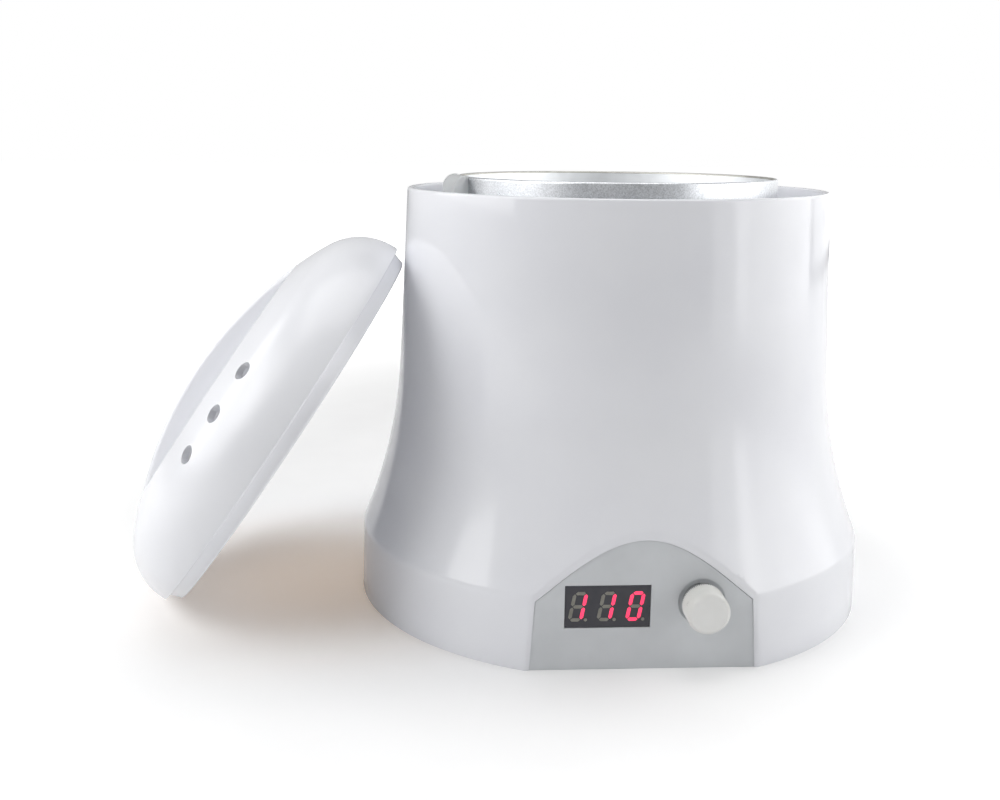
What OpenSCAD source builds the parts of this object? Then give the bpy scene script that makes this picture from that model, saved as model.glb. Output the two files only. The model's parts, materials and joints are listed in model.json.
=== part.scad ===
// Wax warmer: a flared drum-shaped housing with a lift-out pot, a digital
// control panel with one push-and-turn knob, and a loose domed lid.
// Millimetres. The origin is the middle of the foot, on the table, +Z is up
// and the control panel faces -Y.

/* [Pot] */
// Outside diameter of the pot
pot_d = 118; // [98:1:142]
// Height of the pot
pot_h = 76; // [63:1:92]
// Thickness of the pot's wall
pot_wall = 1.5; // [1:0.1:2.5]
// Radius of the pot's bottom corner
pot_corner = 8; // [5:0.5:12]
// How far the pot's rim stands above the housing
pot_rise = 4.3; // [2:0.1:8]

/* [Housing] */
// Height of the housing
body_h = 152.5; // [127:0.5:183]
// Free ring between the pot and the housing's wall
pot_gap = 16.3; // [13.5:0.1:20]
// How far the crease stands outside the rim
flare_out = 17.5; // [14.5:0.1:21]
// Height of the skirt, from the table to the crease
skirt_h = 25.5; // [21:0.5:31]
// How much wider the skirt is at the table than at the crease
skirt_draft = 0.75; // [0.3:0.05:1.5]
// Thickness of the housing's wall
wall = 2.2; // [1.8:0.1:3]
// Draft of the upper wall in degrees
draft = 2.7; // [1:0.1:3.5]
// Radius of the flare
flare_r = 185; // [155:1:222]
// Depth that the front flat cuts into the foot
flat_depth = 8.35; // [7:0.05:10]
// Depth of the ring-shaped deck below the rim
deck_drop = 14.5; // [12:0.5:17.5]
// Thickness of the deck
deck_t = 3; // [2.5:0.1:4]

/* [Control panel] */
// Thickness of the panel's plate
panel_t = 2.4; // [2:0.1:3]
// Width of the housing's border round the panel
border = 2; // [1.6:0.1:2.6]
// Width of the display
display_w = 28; // [23:0.1:30]
// Height of the display
display_h = 14.4; // [12:0.1:16]
// Middle of the display, left of the panel's middle line
display_x = 12; // [11:0.1:14]
// Height of the display's middle above the table
display_z = 21.9; // [19:0.1:24]
// Height of a digit
digit_h = 10.2; // [8.5:0.1:12]
// Diameter of the knob over its teeth
knob_d = 14; // [11.7:0.1:16]
// Length of the knob
knob_l = 8.3; // [7:0.1:10]
// Number of teeth round the knob
knob_teeth = 72; // [48:4:90]
// Knob axis, right of the panel's middle line
knob_x = 18.9; // [17:0.1:20]
// Knob axis above the table
knob_z = 23.3; // [20:0.1:24]
// Distance that the knob can be pushed in
push_travel = 0.5; // [0.3:0.1:0.8]

/* [Lid] */
// Height of the lid's dome above its lip
dome_h = 38.1; // [32:0.1:45]
// Height of the lip that drops inside the rim
lip_h = 4; // [3:0.1:6]
// Thickness of the lid
lid_wall = 2.4; // [2:0.1:3]
// How far the lid's edge stands outside the rim
lid_overhang = 0.5; // [0.2:0.1:1.5]
// Radius of the round finger recess on top
recess_r = 52; // [44:1:56]
// Depth of the recess below its own edge
recess_depth = 13; // [9:0.5:15]
// Width of the grip bar across the recess
bar_w = 14; // [11:0.5:17]
// Diameter of a steam vent
vent_d = 7; // [5:0.5:8]
// Distance of the vents from the lid's axis
vent_ring = 65.3; // [60:0.1:68]
// Angle between two vents in degrees
vent_step = 15.5; // [12:0.5:20]
// Lean of the lid against the housing in degrees
lid_lean = 55.8; // [50:0.1:65]
// Turn of the leaning lid about its own axis in degrees
lid_spin = 6; // [0:1:12]
// How far in front of the middle the lid leans
lid_forward = 4.7; // [0:0.1:10]

/* [Fits] */
// Clearance between mouldings that fit together
fit_gap = 0.3; // [0.2:0.05:0.5]
// Clearance round the pot in its well
well_gap = 0.6; // [0.4:0.1:1]
// Radial clearance of a shaft that turns in its bore
run_gap = 0.05; // [0.02:0.01:0.1]

/* [Hidden] */
$fn = 72;
e = 0.01;

shell_white = "#F1F1F4";
panel_grey = "#BABDC0";
steel = "#B8BCC2";
aluminium_grey = "#CDD0D4";
board_green = "#2F6B45";
part_black = "#2A2A30";

pot_r = pot_d / 2;
rim_r = pot_r + pot_gap + wall;
crease_r = rim_r + flare_out;
base_r = crease_r + skirt_draft;
front_y = -(base_r - flat_depth);
pot_top = body_h + pot_rise;
pot_floor = pot_top - pot_h;
deck_z = body_h - deck_drop;

// The drafted wall runs straight down from the rim, and the flare is an arc
// tangent to it that ends at the crease.
down = [sin(draft), -cos(draft)];
out = [cos(draft), sin(draft)];
to_crease = [crease_r - rim_r, skirt_h - body_h];
crease_down = to_crease * down;
crease_out = to_crease * out;
wall_len = crease_down - sqrt(2 * flare_r * crease_out - crease_out * crease_out);
arc_c = [rim_r, body_h] + wall_len * down + flare_r * out;

// Radius of the outside at height z, moved inwards by o
function line_r(z, o = 0) = rim_r + (body_h - z) * tan(draft) - o / cos(draft);
function arc_r(z, o = 0) = arc_c.x - sqrt(pow(flare_r + o, 2) - pow(z - arc_c.y, 2));
function tangent_z(o = 0) = arc_c.y - (flare_r + o) * out.y;
function skirt_r(z, o = 0) = arc_r(skirt_h, o) + skirt_draft * (1 - z / skirt_h);
function body_r(z, o = 0) =
  z >= tangent_z(o) ? line_r(z, o) : z >= skirt_h ? arc_r(z, o) : skirt_r(z, o);

// Height at which the flare's outside passes x along the front flat
function arch_z(x) =
  arc_c.y - sqrt(flare_r * flare_r - pow(arc_c.x - norm([x, front_y]), 2));
flat_half_bottom = sqrt(base_r * base_r - front_y * front_y);
flat_half_crease = sqrt(crease_r * crease_r - front_y * front_y);

// Half section of the body of revolution, moved inwards by o
module body_section(o = 0, below = 0, above = 0) {
  top = body_h + above;
  difference() {
    polygon([
      [0, -below], [skirt_r(-below, o), -below], [skirt_r(skirt_h, o), skirt_h],
      [arc_c.x - (flare_r + o) * out.x, tangent_z(o)], [line_r(top, o), top], [0, top]
    ]);
    translate(arc_c) circle(r = flare_r + o, $fn = 720);
  }
}

// A can's half section with a rounded bottom corner
module can_section(r, z0, z1, corner) {
  translate([0, z0]) square([r - corner, z1 - z0]);
  translate([0, z0 + corner]) square([r, z1 - z0 - corner]);
  translate([r - corner, z0 + corner]) circle(r = corner);
}

module ring(r_out, r_in, h) {
  difference() {
    cylinder(r = r_out, h = h);
    translate([0, 0, -e]) cylinder(r = r_in, h = h + 2 * e);
  }
}

module along_y(y, x = 0, z = 0) {
  translate([x, y, z]) rotate([-90, 0, 0]) children();
}

// A pan-head screw on +Z: the head sits above z = 0, the shank goes below it
module screw(shank_r, shank_l, head_r, head_h) {
  slot_w = shank_r * 0.5;
  translate([0, 0, -shank_l]) cylinder(r = shank_r, h = shank_l + e);
  difference() {
    cylinder(r1 = head_r, r2 = head_r * 0.8, h = head_h);
    for (a = [0, 90])
      rotate(a) translate([-head_r * 0.55, -slot_w / 2, head_h * 0.45])
        cube([head_r * 1.1, slot_w, head_h]);
  }
}

// Housing
ledge_w = 5;
ledge_t = 2.5;
ring_screw_r = 1.15;
ring_screw_ring = line_r(deck_z, wall) - ledge_w / 2 - 0.6;
base_screw_ring = base_r - 9.75;
base_screw_angles = [45, 135, 225, 315];
boss_r = 4.2;
base_screw_r = 1.4;
plate_z = 2.2;
plate_t = 2.4;
gland_z = 13;
gland_neck_r = 5.2;
round_c = wall / 2;

module rim_and_wall_section() {
  mid = [line_r(body_h - round_c, round_c), body_h - round_c];
  difference() {
    body_section();
    body_section(wall, below = 1, above = 1);
    translate(mid) rotate(draft) translate([-wall, 0]) square([2 * wall, 3 * wall]);
  }
  translate(mid) circle(r = round_c);
  ledge_z = deck_z - deck_t - ledge_t;
  ledge_r = line_r(deck_z, wall);
  intersection() {
    body_section(wall / 2);
    polygon([
      [ledge_r - ledge_w, ledge_z], [ledge_r + wall, ledge_z - ledge_w],
      [ledge_r + wall, ledge_z + ledge_t], [ledge_r - ledge_w, ledge_z + ledge_t]
    ]);
  }
}

module behind_flat(inset = 0) {
  s = 2 * base_r;
  translate([-s, front_y + inset, -s]) cube([2 * s, 2 * s, 4 * s]);
}

// The panel's outline in the plane of the flat, grown by g
module panel_outline(g = 0, z0 = 0) {
  wb = flat_half_bottom - border + g;
  ws = flat_half_crease - border + g;
  steps = 14;
  polygon(concat(
    [[-wb, z0], [wb, z0]],
    [for (i = [steps:-1:-steps])
      let (x = ws * i / steps)
      [x, arch_z(x * flat_half_crease / ws) - border * 1.1 + g]]
  ));
}

module housing() {
  color(shell_white)
  difference() {
    union() {
      intersection() {
        rotate_extrude() rim_and_wall_section();
        behind_flat();
      }
      intersection() {
        rotate_extrude() body_section();
        behind_flat();
        translate([-base_r, front_y, 0]) cube([2 * base_r, wall, body_h / 2]);
      }
      intersection() {
        rotate_extrude() body_section(wall / 2);
        for (a = base_screw_angles)
          rotate(a) translate([base_screw_ring, 0, plate_z + plate_t])
            cylinder(r = boss_r, h = skirt_h + 16);
      }
    }
    translate([0, front_y + wall + 1, 0]) rotate([90, 0, 0])
      linear_extrude(wall + 2) panel_outline(fit_gap / 2, -1);
    for (a = base_screw_angles)
      rotate(a) translate([base_screw_ring, 0, 0])
        cylinder(r = base_screw_r + run_gap, h = plate_z + plate_t + 14);
    along_y(base_r - 3 * wall, 0, gland_z) cylinder(r = gland_neck_r + run_gap, h = 6 * wall);
    for (a = [30, 150, 270])
      rotate(a) translate([ring_screw_ring, 0, deck_z - deck_t - 2 * ledge_w])
        cylinder(r = ring_screw_r + 0.3, h = 3 * ledge_w);
    for (a = [30, 150, 270])
      rotate(a) translate([ring_screw_ring, 0, deck_z - deck_t - ledge_t - 8])
        cylinder(r = 2.6, h = 8);
  }
}

// Deck and heating well
well_r = pot_r + well_gap;
well_wall = 1.5;
well_out = well_r + well_wall;
well_floor = pot_floor - fit_gap;
well_base = well_floor - well_wall;
flange_t = 1.2;
flange_r = well_out + 6;
well_screw_ring = well_out + 3.2;
well_screw_angles = [90, 225, 330];
well_screw_r = 1;
ring_r = rim_r - wall - fit_gap;

module inner_ring() {
  color(shell_white)
  difference() {
    rotate_extrude()
      difference() {
        union() {
          translate([well_out + fit_gap, deck_z - deck_t])
            square([ring_r - well_out - fit_gap, deck_t]);
          translate([well_out + fit_gap, deck_z - 3 * deck_t]) square([2, 3 * deck_t]);
        }
        translate([ring_r, deck_z]) rotate(45) square(1, center = true);
      }
    for (a = [30, 150, 270])
      rotate(a) translate([ring_screw_ring, 0, deck_z - deck_t - e])
        cylinder(r = ring_screw_r + run_gap, h = deck_t - 0.5);
    for (a = well_screw_angles)
      rotate(a) translate([well_screw_ring, 0, deck_z - 2 * deck_t])
        cylinder(r = well_screw_r + run_gap, h = 3 * deck_t);
  }
}

module ring_screws() {
  color(steel)
  for (a = [30, 150, 270])
    rotate(a) translate([ring_screw_ring, 0, deck_z - deck_t - ledge_t]) rotate([180, 0, 0])
      screw(ring_screw_r, ledge_t + deck_t - 1, 2.2, 1.6);
}

cutout_at = [25, 0];
cutout_ears = 12;
sensor_at = [-8, -24];
fuse_at = [-26, 12];
earth_at = [-4, 34];
stud_r = 1.5;
stud_l = 7;
stud_places = [
  cutout_at + [0, cutout_ears], cutout_at - [0, cutout_ears], sensor_at, fuse_at, earth_at
];

module heating_well() {
  color(aluminium_grey) {
    difference() {
      rotate_extrude() {
        difference() {
          can_section(well_out, well_base, deck_z + flange_t, pot_corner + well_wall);
          can_section(well_r, well_floor, deck_z + flange_t + 1, pot_corner);
        }
        translate([well_out - e, deck_z]) square([flange_r - well_out, flange_t]);
      }
      for (a = well_screw_angles)
        rotate(a) translate([well_screw_ring, 0, deck_z - 1]) cylinder(r = 1.3, h = 4);
    }
    for (p = stud_places)
      translate([p.x, p.y, well_base - stud_l]) cylinder(r = stud_r, h = stud_l + e);
  }
}

module well_screws() {
  color(steel)
  for (a = well_screw_angles)
    rotate(a) translate([well_screw_ring, 0, deck_z + flange_t])
      screw(well_screw_r, 5, 2, 1.4);
}

// Band heater, clamp and insulation leave a gap at the left for the terminals
band_z = well_base + 14;
band_h = 32;
band_t = 1.5;
strap_w = 10;
strap_t = 0.6;
strap_r = well_out + 0.1 + band_t + 0.1;
wrap_r = strap_r + strap_t + 0.2;
wrap_t = 4;
band_gap = 8;
wrap_gap = 34;

module arc_band(r, t, h, gap) {
  rotate(180 + gap / 2) rotate_extrude(angle = 360 - gap)
    translate([r, 0]) square([t, h]);
}

module heater_band() {
  color("#C9B487") {
    translate([0, 0, band_z]) arc_band(well_out + 0.1, band_t, band_h, band_gap);
    for (s = [-1, 1])
      rotate(180 + s * (band_gap / 2 + 3))
        translate([well_out + 0.1 + band_t - e, -3, band_z + 2]) cube([1.6, 6, 5]);
  }
}

ear_l = 6;
ear_a = band_gap / 2 + 0.5;
ear_y = (strap_r + ear_l) * sin(ear_a) + strap_t / 2 + 0.1;
module clamp_band() {
  z = band_z + band_h / 2 - strap_w / 2;
  color(steel) {
    translate([0, 0, z]) arc_band(strap_r, strap_t, strap_w, 2 * ear_a);
    difference() {
      for (s = [-1, 1])
        rotate(180 + s * ear_a)
          translate([strap_r, -strap_t / 2, z]) cube([ear_l, strap_t, strap_w]);
      along_y(-10, -(strap_r + ear_l * 0.6), z + strap_w / 2) cylinder(r = 1.7, h = 20);
    }
    along_y(-ear_y - 2, -(strap_r + ear_l * 0.6), z + strap_w / 2)
      cylinder(r = 1.5, h = 2 * ear_y + 5);
    along_y(-ear_y - 2.4, -(strap_r + ear_l * 0.6), z + strap_w / 2) cylinder(r = 2.8, h = 2.4);
    along_y(ear_y, -(strap_r + ear_l * 0.6), z + strap_w / 2)
      cylinder(r = 3.2, h = 2.4, $fn = 6);
  }
}

module insulation_wrap() {
  color("#E8E4D8")
  translate([0, 0, well_base + 10])
    arc_band(wrap_r, wrap_t, deck_z - 3 * deck_t - well_base - 12, wrap_gap);
}

// Sensors under the well, each on its own stud
module thermal_cutout() {
  z = well_base;
  color(part_black) translate([cutout_at.x, cutout_at.y, z - 6.6]) cylinder(r = 8, h = 6);
  color(steel)
  translate([cutout_at.x, cutout_at.y, z - 0.7])
    difference() {
      union() {
        cylinder(r = 8.4, h = 0.6);
        translate([-3.5, -cutout_ears - 3.5, 0]) cube([7, 2 * cutout_ears + 7, 0.6]);
      }
      for (s = [-1, 1])
        translate([0, s * cutout_ears, -1]) cylinder(r = stud_r + 0.1, h = 3);
    }
  color("#C8A24A")
  for (s = [-1, 1])
    translate([cutout_at.x + s * 4 - 0.4, cutout_at.y - 3.15, z - 15]) cube([0.8, 6.3, 9]);
}

module thermal_fuse() {
  z = well_base;
  color("#D8C9A8")
  translate([fuse_at.x, fuse_at.y + 6.5, z - 2.4]) rotate([0, 90, 0])
    translate([0, 0, -7]) cylinder(r = 1.9, h = 14);
  color(steel)
  difference() {
    union() {
      translate([fuse_at.x - 3.5, fuse_at.y - 3.5, z - 1.2]) cube([7, 8, 1.1]);
      translate([fuse_at.x - 3.5, fuse_at.y + 3.9, z - 4.6]) cube([7, 0.6, 4.4]);
      translate([fuse_at.x - 3.5, fuse_at.y + 3.9, z - 4.9]) cube([7, 5.2, 0.6]);
    }
    translate([fuse_at.x, fuse_at.y, z - 3]) cylinder(r = stud_r + 0.1, h = 4);
  }
}

module temperature_sensor() {
  z = well_base - 1.1;
  color(steel)
  difference() {
    union() {
      translate([sensor_at.x, sensor_at.y, z]) cylinder(r = 3.6, h = 1);
      translate([sensor_at.x - 2, sensor_at.y - 8, z]) cube([4, 6, 1]);
    }
    translate([sensor_at.x, sensor_at.y, z - 1]) cylinder(r = stud_r + 0.1, h = 4);
  }
  color(part_black)
  translate([sensor_at.x, sensor_at.y - 7, z - 1 + e]) rotate([90, 0, 0])
    translate([0, 0, -2]) cylinder(r = 2, h = 8);
}

module sensor_nuts() {
  color(steel)
  for (p = stud_places)
    translate([p.x, p.y, well_base - 4.6])
      difference() {
        cylinder(r = 3.1, h = 2.4, $fn = 6);
        translate([0, 0, -1]) cylinder(r = stud_r + run_gap, h = 5);
      }
  color(steel)
  for (p = stud_places)
    translate([p.x, p.y, well_base - 2.1])
      ring(2.9, stud_r + 0.1, 0.8);
}

module earth_tag() {
  z = well_base - 1.1;
  color("#C8A24A")
  difference() {
    union() {
      translate([earth_at.x, earth_at.y, z]) cylinder(r = 3.6, h = 1);
      translate([earth_at.x - 8, earth_at.y - 1.8, z]) cube([7, 3.6, 1]);
    }
    translate([earth_at.x, earth_at.y, z - 1]) cylinder(r = stud_r + 0.1, h = 4);
  }
}

// Base plate
board_z = 10;
board_t = 1.6;
board_x = 42;
board_y0 = -12;
board_y1 = 44;
post_r = 3;
board_posts = [
  [-board_x + 4, board_y0 + 4], [board_x - 4, board_y0 + 4],
  [-board_x + 4, board_y1 - 4], [board_x - 4, board_y1 - 4]
];
board_screw_r = 1.2;
foot_r = 7;
foot_ring = base_r - 22;
foot_angles = [50, 130, 232, 308];
leg_x = 27;
leg_y = front_y + 7.4;
plate_edge = arc_r(skirt_h, wall) + skirt_draft * 0.5 - fit_gap;
cord_y = base_r - 26;
cord_post_x = 8;

module base_plate() {
  color("#E4E4E7")
  difference() {
    union() {
      intersection() {
        translate([0, 0, plate_z]) cylinder(r = plate_edge, h = plate_t);
        behind_flat(panel_t + 3 * fit_gap);
      }
      for (p = board_posts)
        translate([p.x, p.y, plate_z + plate_t - e])
          cylinder(r = post_r, h = board_z - plate_z - plate_t);
      for (s = [-1, 1])
        translate([s * cord_post_x, cord_y, plate_z + plate_t - e]) cylinder(r = 3, h = 4);
    }
    for (p = board_posts)
      translate([p.x, p.y, plate_z + plate_t])
        cylinder(r = board_screw_r + run_gap, h = board_z);
    for (a = base_screw_angles)
      rotate(a) translate([base_screw_ring, 0, 0]) {
        cylinder(r = base_screw_r + 0.3, h = 2 * plate_t + plate_z);
        cylinder(r = 3.2, h = plate_z + 1.2);
      }
    for (a = foot_angles)
      rotate(a) translate([foot_ring, 0, 0]) cylinder(r = 1.8 + run_gap, h = 10);
    for (s = [-1, 1])
      translate([s * leg_x, leg_y, 0]) {
        cylinder(r = base_screw_r + 0.3, h = 10);
        cylinder(r = 3.2, h = plate_z + 1.2);
      }
    for (s = [-1, 1])
      translate([s * cord_post_x, cord_y, plate_z + 1]) cylinder(r = 1.2 + run_gap, h = 10);
    for (r = [18, 28, 38, 48])
      for (a = [180, 0])
        rotate(a) vent_slot(r);
  }
}

// A curved vent slot of 3 mm with round ends
module vent_slot(r) {
  span = 110;
  rotate(90 - span / 2) rotate_extrude(angle = span)
    translate([r - 1.5, 0]) square([3, 10]);
  for (a = [90 - span / 2, 90 + span / 2])
    rotate(a) translate([r, 0, 0]) cylinder(r = 1.5, h = 10);
}

module feet() {
  color("#4A4A4E")
  for (a = foot_angles)
    rotate(a) translate([foot_ring, 0, 0]) {
      rotate_extrude() polygon([[0, 0], [foot_r - 1, 0], [foot_r, 1], [foot_r, plate_z], [0, plate_z]]);
      translate([0, 0, plate_z - e]) cylinder(r = 1.8, h = plate_t + 0.4);
      translate([0, 0, plate_z + plate_t + 0.1]) cylinder(r1 = 2.7, r2 = 1.6, h = 1.8);
    }
}

module base_screws() {
  color(steel)
  for (a = base_screw_angles)
    rotate(a) translate([base_screw_ring, 0, plate_z + 1.2]) rotate([180, 0, 0])
      screw(base_screw_r, 12, 2.8, 1.8);
}

// Control panel
face_y = front_y + 0.2;
well_depth = 2.2;
knob_well_r = knob_d / 2 + 0.75;
knob_stand = 3.2;
cup_floor = 2;
cup_back = face_y + well_depth + cup_floor;
encoder_l = 6.5;
pcb_y = cup_back + 0.1 + encoder_l;
pcb_t = 1.6;
pcb_half = 31;
pcb_z0 = 9;
pcb_z1 = 35.6;
panel_posts = [[-28.3, 11.6], [28.3, 11.6], [-20, 31.8], [20, 33]];
bush_r = 3.5;
bush_l = 5;
pilot_r = 0.95;

module control_panel() {
  color(panel_grey)
  difference() {
    union() {
      translate([0, face_y + panel_t, 0]) rotate([90, 0, 0])
        linear_extrude(panel_t) panel_outline(0, 0.4);
      along_y(face_y + 0.5, knob_x, knob_z)
        cylinder(r = knob_well_r + 1.6, h = well_depth + cup_floor - 0.5);
      for (p = panel_posts)
        along_y(face_y + panel_t - e, p.x, p.y) cylinder(r = 2.1, h = pcb_y - face_y - panel_t);
      for (s = [-1, 1])
        translate([s * leg_x - 4, face_y + panel_t - e, plate_z + plate_t + 0.1])
          cube([8, leg_y + 3.4 - face_y - panel_t, 4.2]);
      translate([-display_x, 0, display_z]) display_frame();
    }
    translate([-display_x - display_w / 2 - 0.15, face_y - 1, display_z - display_h / 2 - 0.15])
      cube([display_w + 0.3, 12, display_h + 0.3]);
    along_y(face_y - 1, knob_x, knob_z) cylinder(r = knob_well_r, h = well_depth + 1);
    along_y(face_y - 1, knob_x, knob_z) cylinder(r = bush_r + 0.1, h = 20);
    for (p = panel_posts)
      along_y(face_y + panel_t + 0.6, p.x, p.y) cylinder(r = pilot_r + run_gap, h = 12);
    for (s = [-1, 1])
      translate([s * leg_x, leg_y, plate_z]) cylinder(r = base_screw_r + run_gap, h = 5.8);
  }
}

// A frame behind the window that guides the display
module display_frame() {
  translate([-display_w / 2 - 1.3, face_y + panel_t - e, -display_h / 2 - 1.3])
    cube([display_w + 2.6, 2.4, display_h + 2.6]);
}

module panel_screws() {
  color(steel)
  for (s = [-1, 1])
    translate([s * leg_x, leg_y, plate_z + 1.2]) rotate([180, 0, 0])
      screw(base_screw_r, 4.6, 2.8, 1.8);
}

// Display: a black body with slanted seven-segment digits let into its face
lens_y = face_y + 0.25;
lens_l = 7.2;
digit_w = digit_h * 0.48;
digit_pitch = display_w / 3 + 0.1;
bar_t = 1.15;
slant = 10.5;
bar_deep = 0.6;
bar_gap = 0.22;

// One bar of a digit, pointed at both ends, on its middle line from a to b
module bar(a, b, g = 0) {
  d = (b - a) / norm(b - a);
  n = [-d.y, d.x] * (bar_t / 2 + g);
  s = d * (bar_t / 2 + g);
  a1 = a + d * (bar_gap - g);
  b1 = b - d * (bar_gap - g);
  polygon([a1, a1 + s + n, b1 - s + n, b1, b1 - s - n, a1 + s - n]);
}

// names is a list of bars, a to g clockwise from the top with g in the middle
module digit(names, g = 0, point = false) {
  w = (digit_w - bar_t) / 2;
  h = (digit_h - bar_t) / 2;
  corner = [[-w, h], [w, h], [w, 0], [w, -h], [-w, -h], [-w, 0]];
  ends = [[0, 1], [1, 2], [2, 3], [3, 4], [4, 5], [5, 0], [5, 2]];
  multmatrix([[1, tan(slant), 0, 0], [0, 1, 0, 0], [0, 0, 1, 0], [0, 0, 0, 1]])
    for (k = names) bar(corner[ends[k][0]], corner[ends[k][1]], g);
  if (point)
    translate([digit_w / 2 + 0.1, -digit_h / 2 + 0.55]) circle(r = 0.55 + g, $fn = 24);
}

lit = [[1, 2], [1, 2], [0, 1, 2, 3, 4, 5]];
unlit = [[0, 3, 4, 5, 6], [0, 3, 4, 5, 6], [6]];

module digits(which, g = 0, point = false) {
  for (i = [0:2])
    translate([(i - 1) * digit_pitch - 0.3, 0]) digit(which[i], g, point);
}

module on_lens(h) {
  translate([-display_x, lens_y + h, display_z]) rotate([90, 0, 0])
    linear_extrude(h) children();
}

module display_module() {
  color(part_black)
  difference() {
    translate([-display_x - display_w / 2, lens_y, display_z - display_h / 2])
      cube([display_w, lens_l, display_h]);
    translate([0, -e, 0]) on_lens(bar_deep + 2 * e) digits(lit, 0.03);
    translate([0, -e, 0]) on_lens(bar_deep + 2 * e) digits(unlit, 0.03, true);
  }
  color(steel)
  for (i = [0:4])
    for (s = [-1, 1])
      along_y(lens_y + lens_l - e, -display_x + (i - 2) * 2.54, display_z + s * 5)
        cylinder(r = 0.3, h = pcb_y - lens_y - lens_l + e, $fn = 16);
}

module lit_segments() {
  color("#FF4A72") on_lens(bar_deep) digits(lit);
}

module unlit_segments() {
  color("#6E6E68") on_lens(bar_deep) digits(unlit, 0, true);
}

module display_board() {
  color(board_green)
  difference() {
    translate([-pcb_half, pcb_y, pcb_z0]) cube([2 * pcb_half, pcb_t, pcb_z1 - pcb_z0]);
    for (p = panel_posts)
      along_y(pcb_y - 1, p.x, p.y) cylinder(r = pilot_r + 0.25, h = 4);
  }
}

module board_screws() {
  color(steel)
  for (p = panel_posts)
    along_y(pcb_y + pcb_t, p.x, p.y) screw(pilot_r, 7, 2, 1.3);
}

// Encoder: body with threaded bush, nut, sprung plunger, turning shaft, knob
shaft_r = 3;
shaft_flat = 1.5;
chamber_r = 4.3;
collar_r = 4;
body_y = cup_back + 0.05;
plunger_y = body_y + 2.8;
shaft_tip = face_y - knob_stand - knob_l + 1.6;

module encoder_body() {
  half = 6.2;
  color("#5B5F66")
  difference() {
    union() {
      translate([knob_x - half, body_y, knob_z - half])
        cube([2 * half, encoder_l, 2 * half]);
      along_y(body_y - bush_l, knob_x, knob_z) cylinder(r = bush_r, h = bush_l + e);
    }
    along_y(body_y - bush_l - 1, knob_x, knob_z)
      cylinder(r = shaft_r + run_gap, h = bush_l + 3);
    along_y(body_y + 0.8, knob_x, knob_z) cylinder(r = chamber_r, h = encoder_l - 2);
  }
}

module encoder_nut() {
  color(steel)
  along_y(face_y + well_depth - 2.1, knob_x, knob_z)
    difference() {
      union() {
        cylinder(r = 5.6, h = 1.5, $fn = 6);
        translate([0, 0, 1.5 - e]) cylinder(r = 6, h = 0.5);
      }
      translate([0, 0, -1]) cylinder(r = bush_r + run_gap, h = 4);
    }
}

module encoder_plunger() {
  color("#D8D8DA")
  along_y(plunger_y, knob_x, knob_z) {
    cylinder(r = collar_r, h = 1.2);
    translate([0, 0, 1.2 - e]) cylinder(r = 1.4, h = 0.6);
  }
}

module encoder_shaft() {
  color("#9AA0A8")
  difference() {
    union() {
      along_y(shaft_tip, knob_x, knob_z) cylinder(r = shaft_r, h = plunger_y - 0.1 - shaft_tip);
      along_y(plunger_y - 1.4, knob_x, knob_z) cylinder(r = collar_r, h = 1.3);
    }
    translate([knob_x - 5, shaft_tip - 1, knob_z + shaft_flat]) cube([10, knob_l - 0.5, 5]);
  }
}

tooth = 0.32;
module knob() {
  r = knob_d / 2;
  n = knob_teeth;
  edge = 1.1;
  over = r + 0.03;
  tip = face_y - knob_stand - knob_l;
  color("#EFEFEC")
  difference() {
    translate([knob_x, tip, knob_z]) rotate([-90, 0, 0])
      intersection() {
        linear_extrude(knob_l)
          polygon([for (i = [0:2 * n - 1])
            let (q = i % 2 == 0 ? r : r - tooth) q * [cos(i * 180 / n), sin(i * 180 / n)]]);
        rotate_extrude() {
          translate([0, edge]) square([over, knob_l - edge]);
          square([over - edge, knob_l]);
          translate([over - edge, edge]) circle(r = edge);
        }
      }
    difference() {
      along_y(tip + 1.5, knob_x, knob_z) cylinder(r = shaft_r + run_gap, h = knob_l);
      translate([knob_x - 5, tip, knob_z + shaft_flat + run_gap])
        cube([10, knob_l - 0.6 - e, 5]);
    }
    along_y(tip + knob_l - 1.6, knob_x, knob_z) cylinder(r = 5, h = 2);
  }
}

// Power board and what stands on it
relay_at = [4, 22];
relay_pins = [[2, 3], [13, 3], [2, 16], [13, 16], [7.7, 16]];

module power_board() {
  color("#B99A5B")
  difference() {
    translate([-board_x, board_y0, board_z]) cube([2 * board_x, board_y1 - board_y0, board_t]);
    for (p = board_posts)
      translate([p.x, p.y, board_z - 1]) cylinder(r = board_screw_r + 0.25, h = 4);
    for (p = relay_pins)
      translate([relay_at.x + p.x, relay_at.y + p.y, board_z - 1])
        cylinder(r = 0.6, h = 4, $fn = 16);
  }
}

module power_board_screws() {
  color(steel)
  for (p = board_posts)
    translate([p.x, p.y, board_z + board_t]) screw(board_screw_r, 6.2, 2.5, 1.6);
}

top_z = board_z + board_t;

module transformer() {
  translate([-22, 26, top_z]) {
    color("#50545A")
    difference() {
      translate([-15, -8, 0]) cube([30, 16, 25]);
      for (s = [-1, 1])
        translate([s * 8.5 - 2.5, -9, 5]) cube([5, 18, 15]);
    }
    color("#C98A3A")
    for (s = [-1, 1])
      translate([0, 0, 5.2]) linear_extrude(14.6)
        difference() {
          square([20.5, 23], center = true);
          square([12, 16], center = true);
          translate([0, -s * 20]) square([40, 40], center = true);
        }
  }
}

module relay() {
  translate([relay_at.x, relay_at.y, top_z]) {
    color("#2F4F8A") cube([15.5, 19, 15.5]);
    color(steel)
    for (p = relay_pins)
      translate([p.x, p.y, -3.4]) cylinder(r = 0.5, h = 3.4 + e, $fn = 16);
  }
}

module capacitors() {
  color("#D8B13A")
  translate([23, 31, top_z]) cube([10, 9, 14]);
  color("#3A4FA0")
  for (y = [8, 20]) translate([30, y, top_z]) rotate_extrude() can_section(5, 0, 16, 0.8);
}

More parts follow.
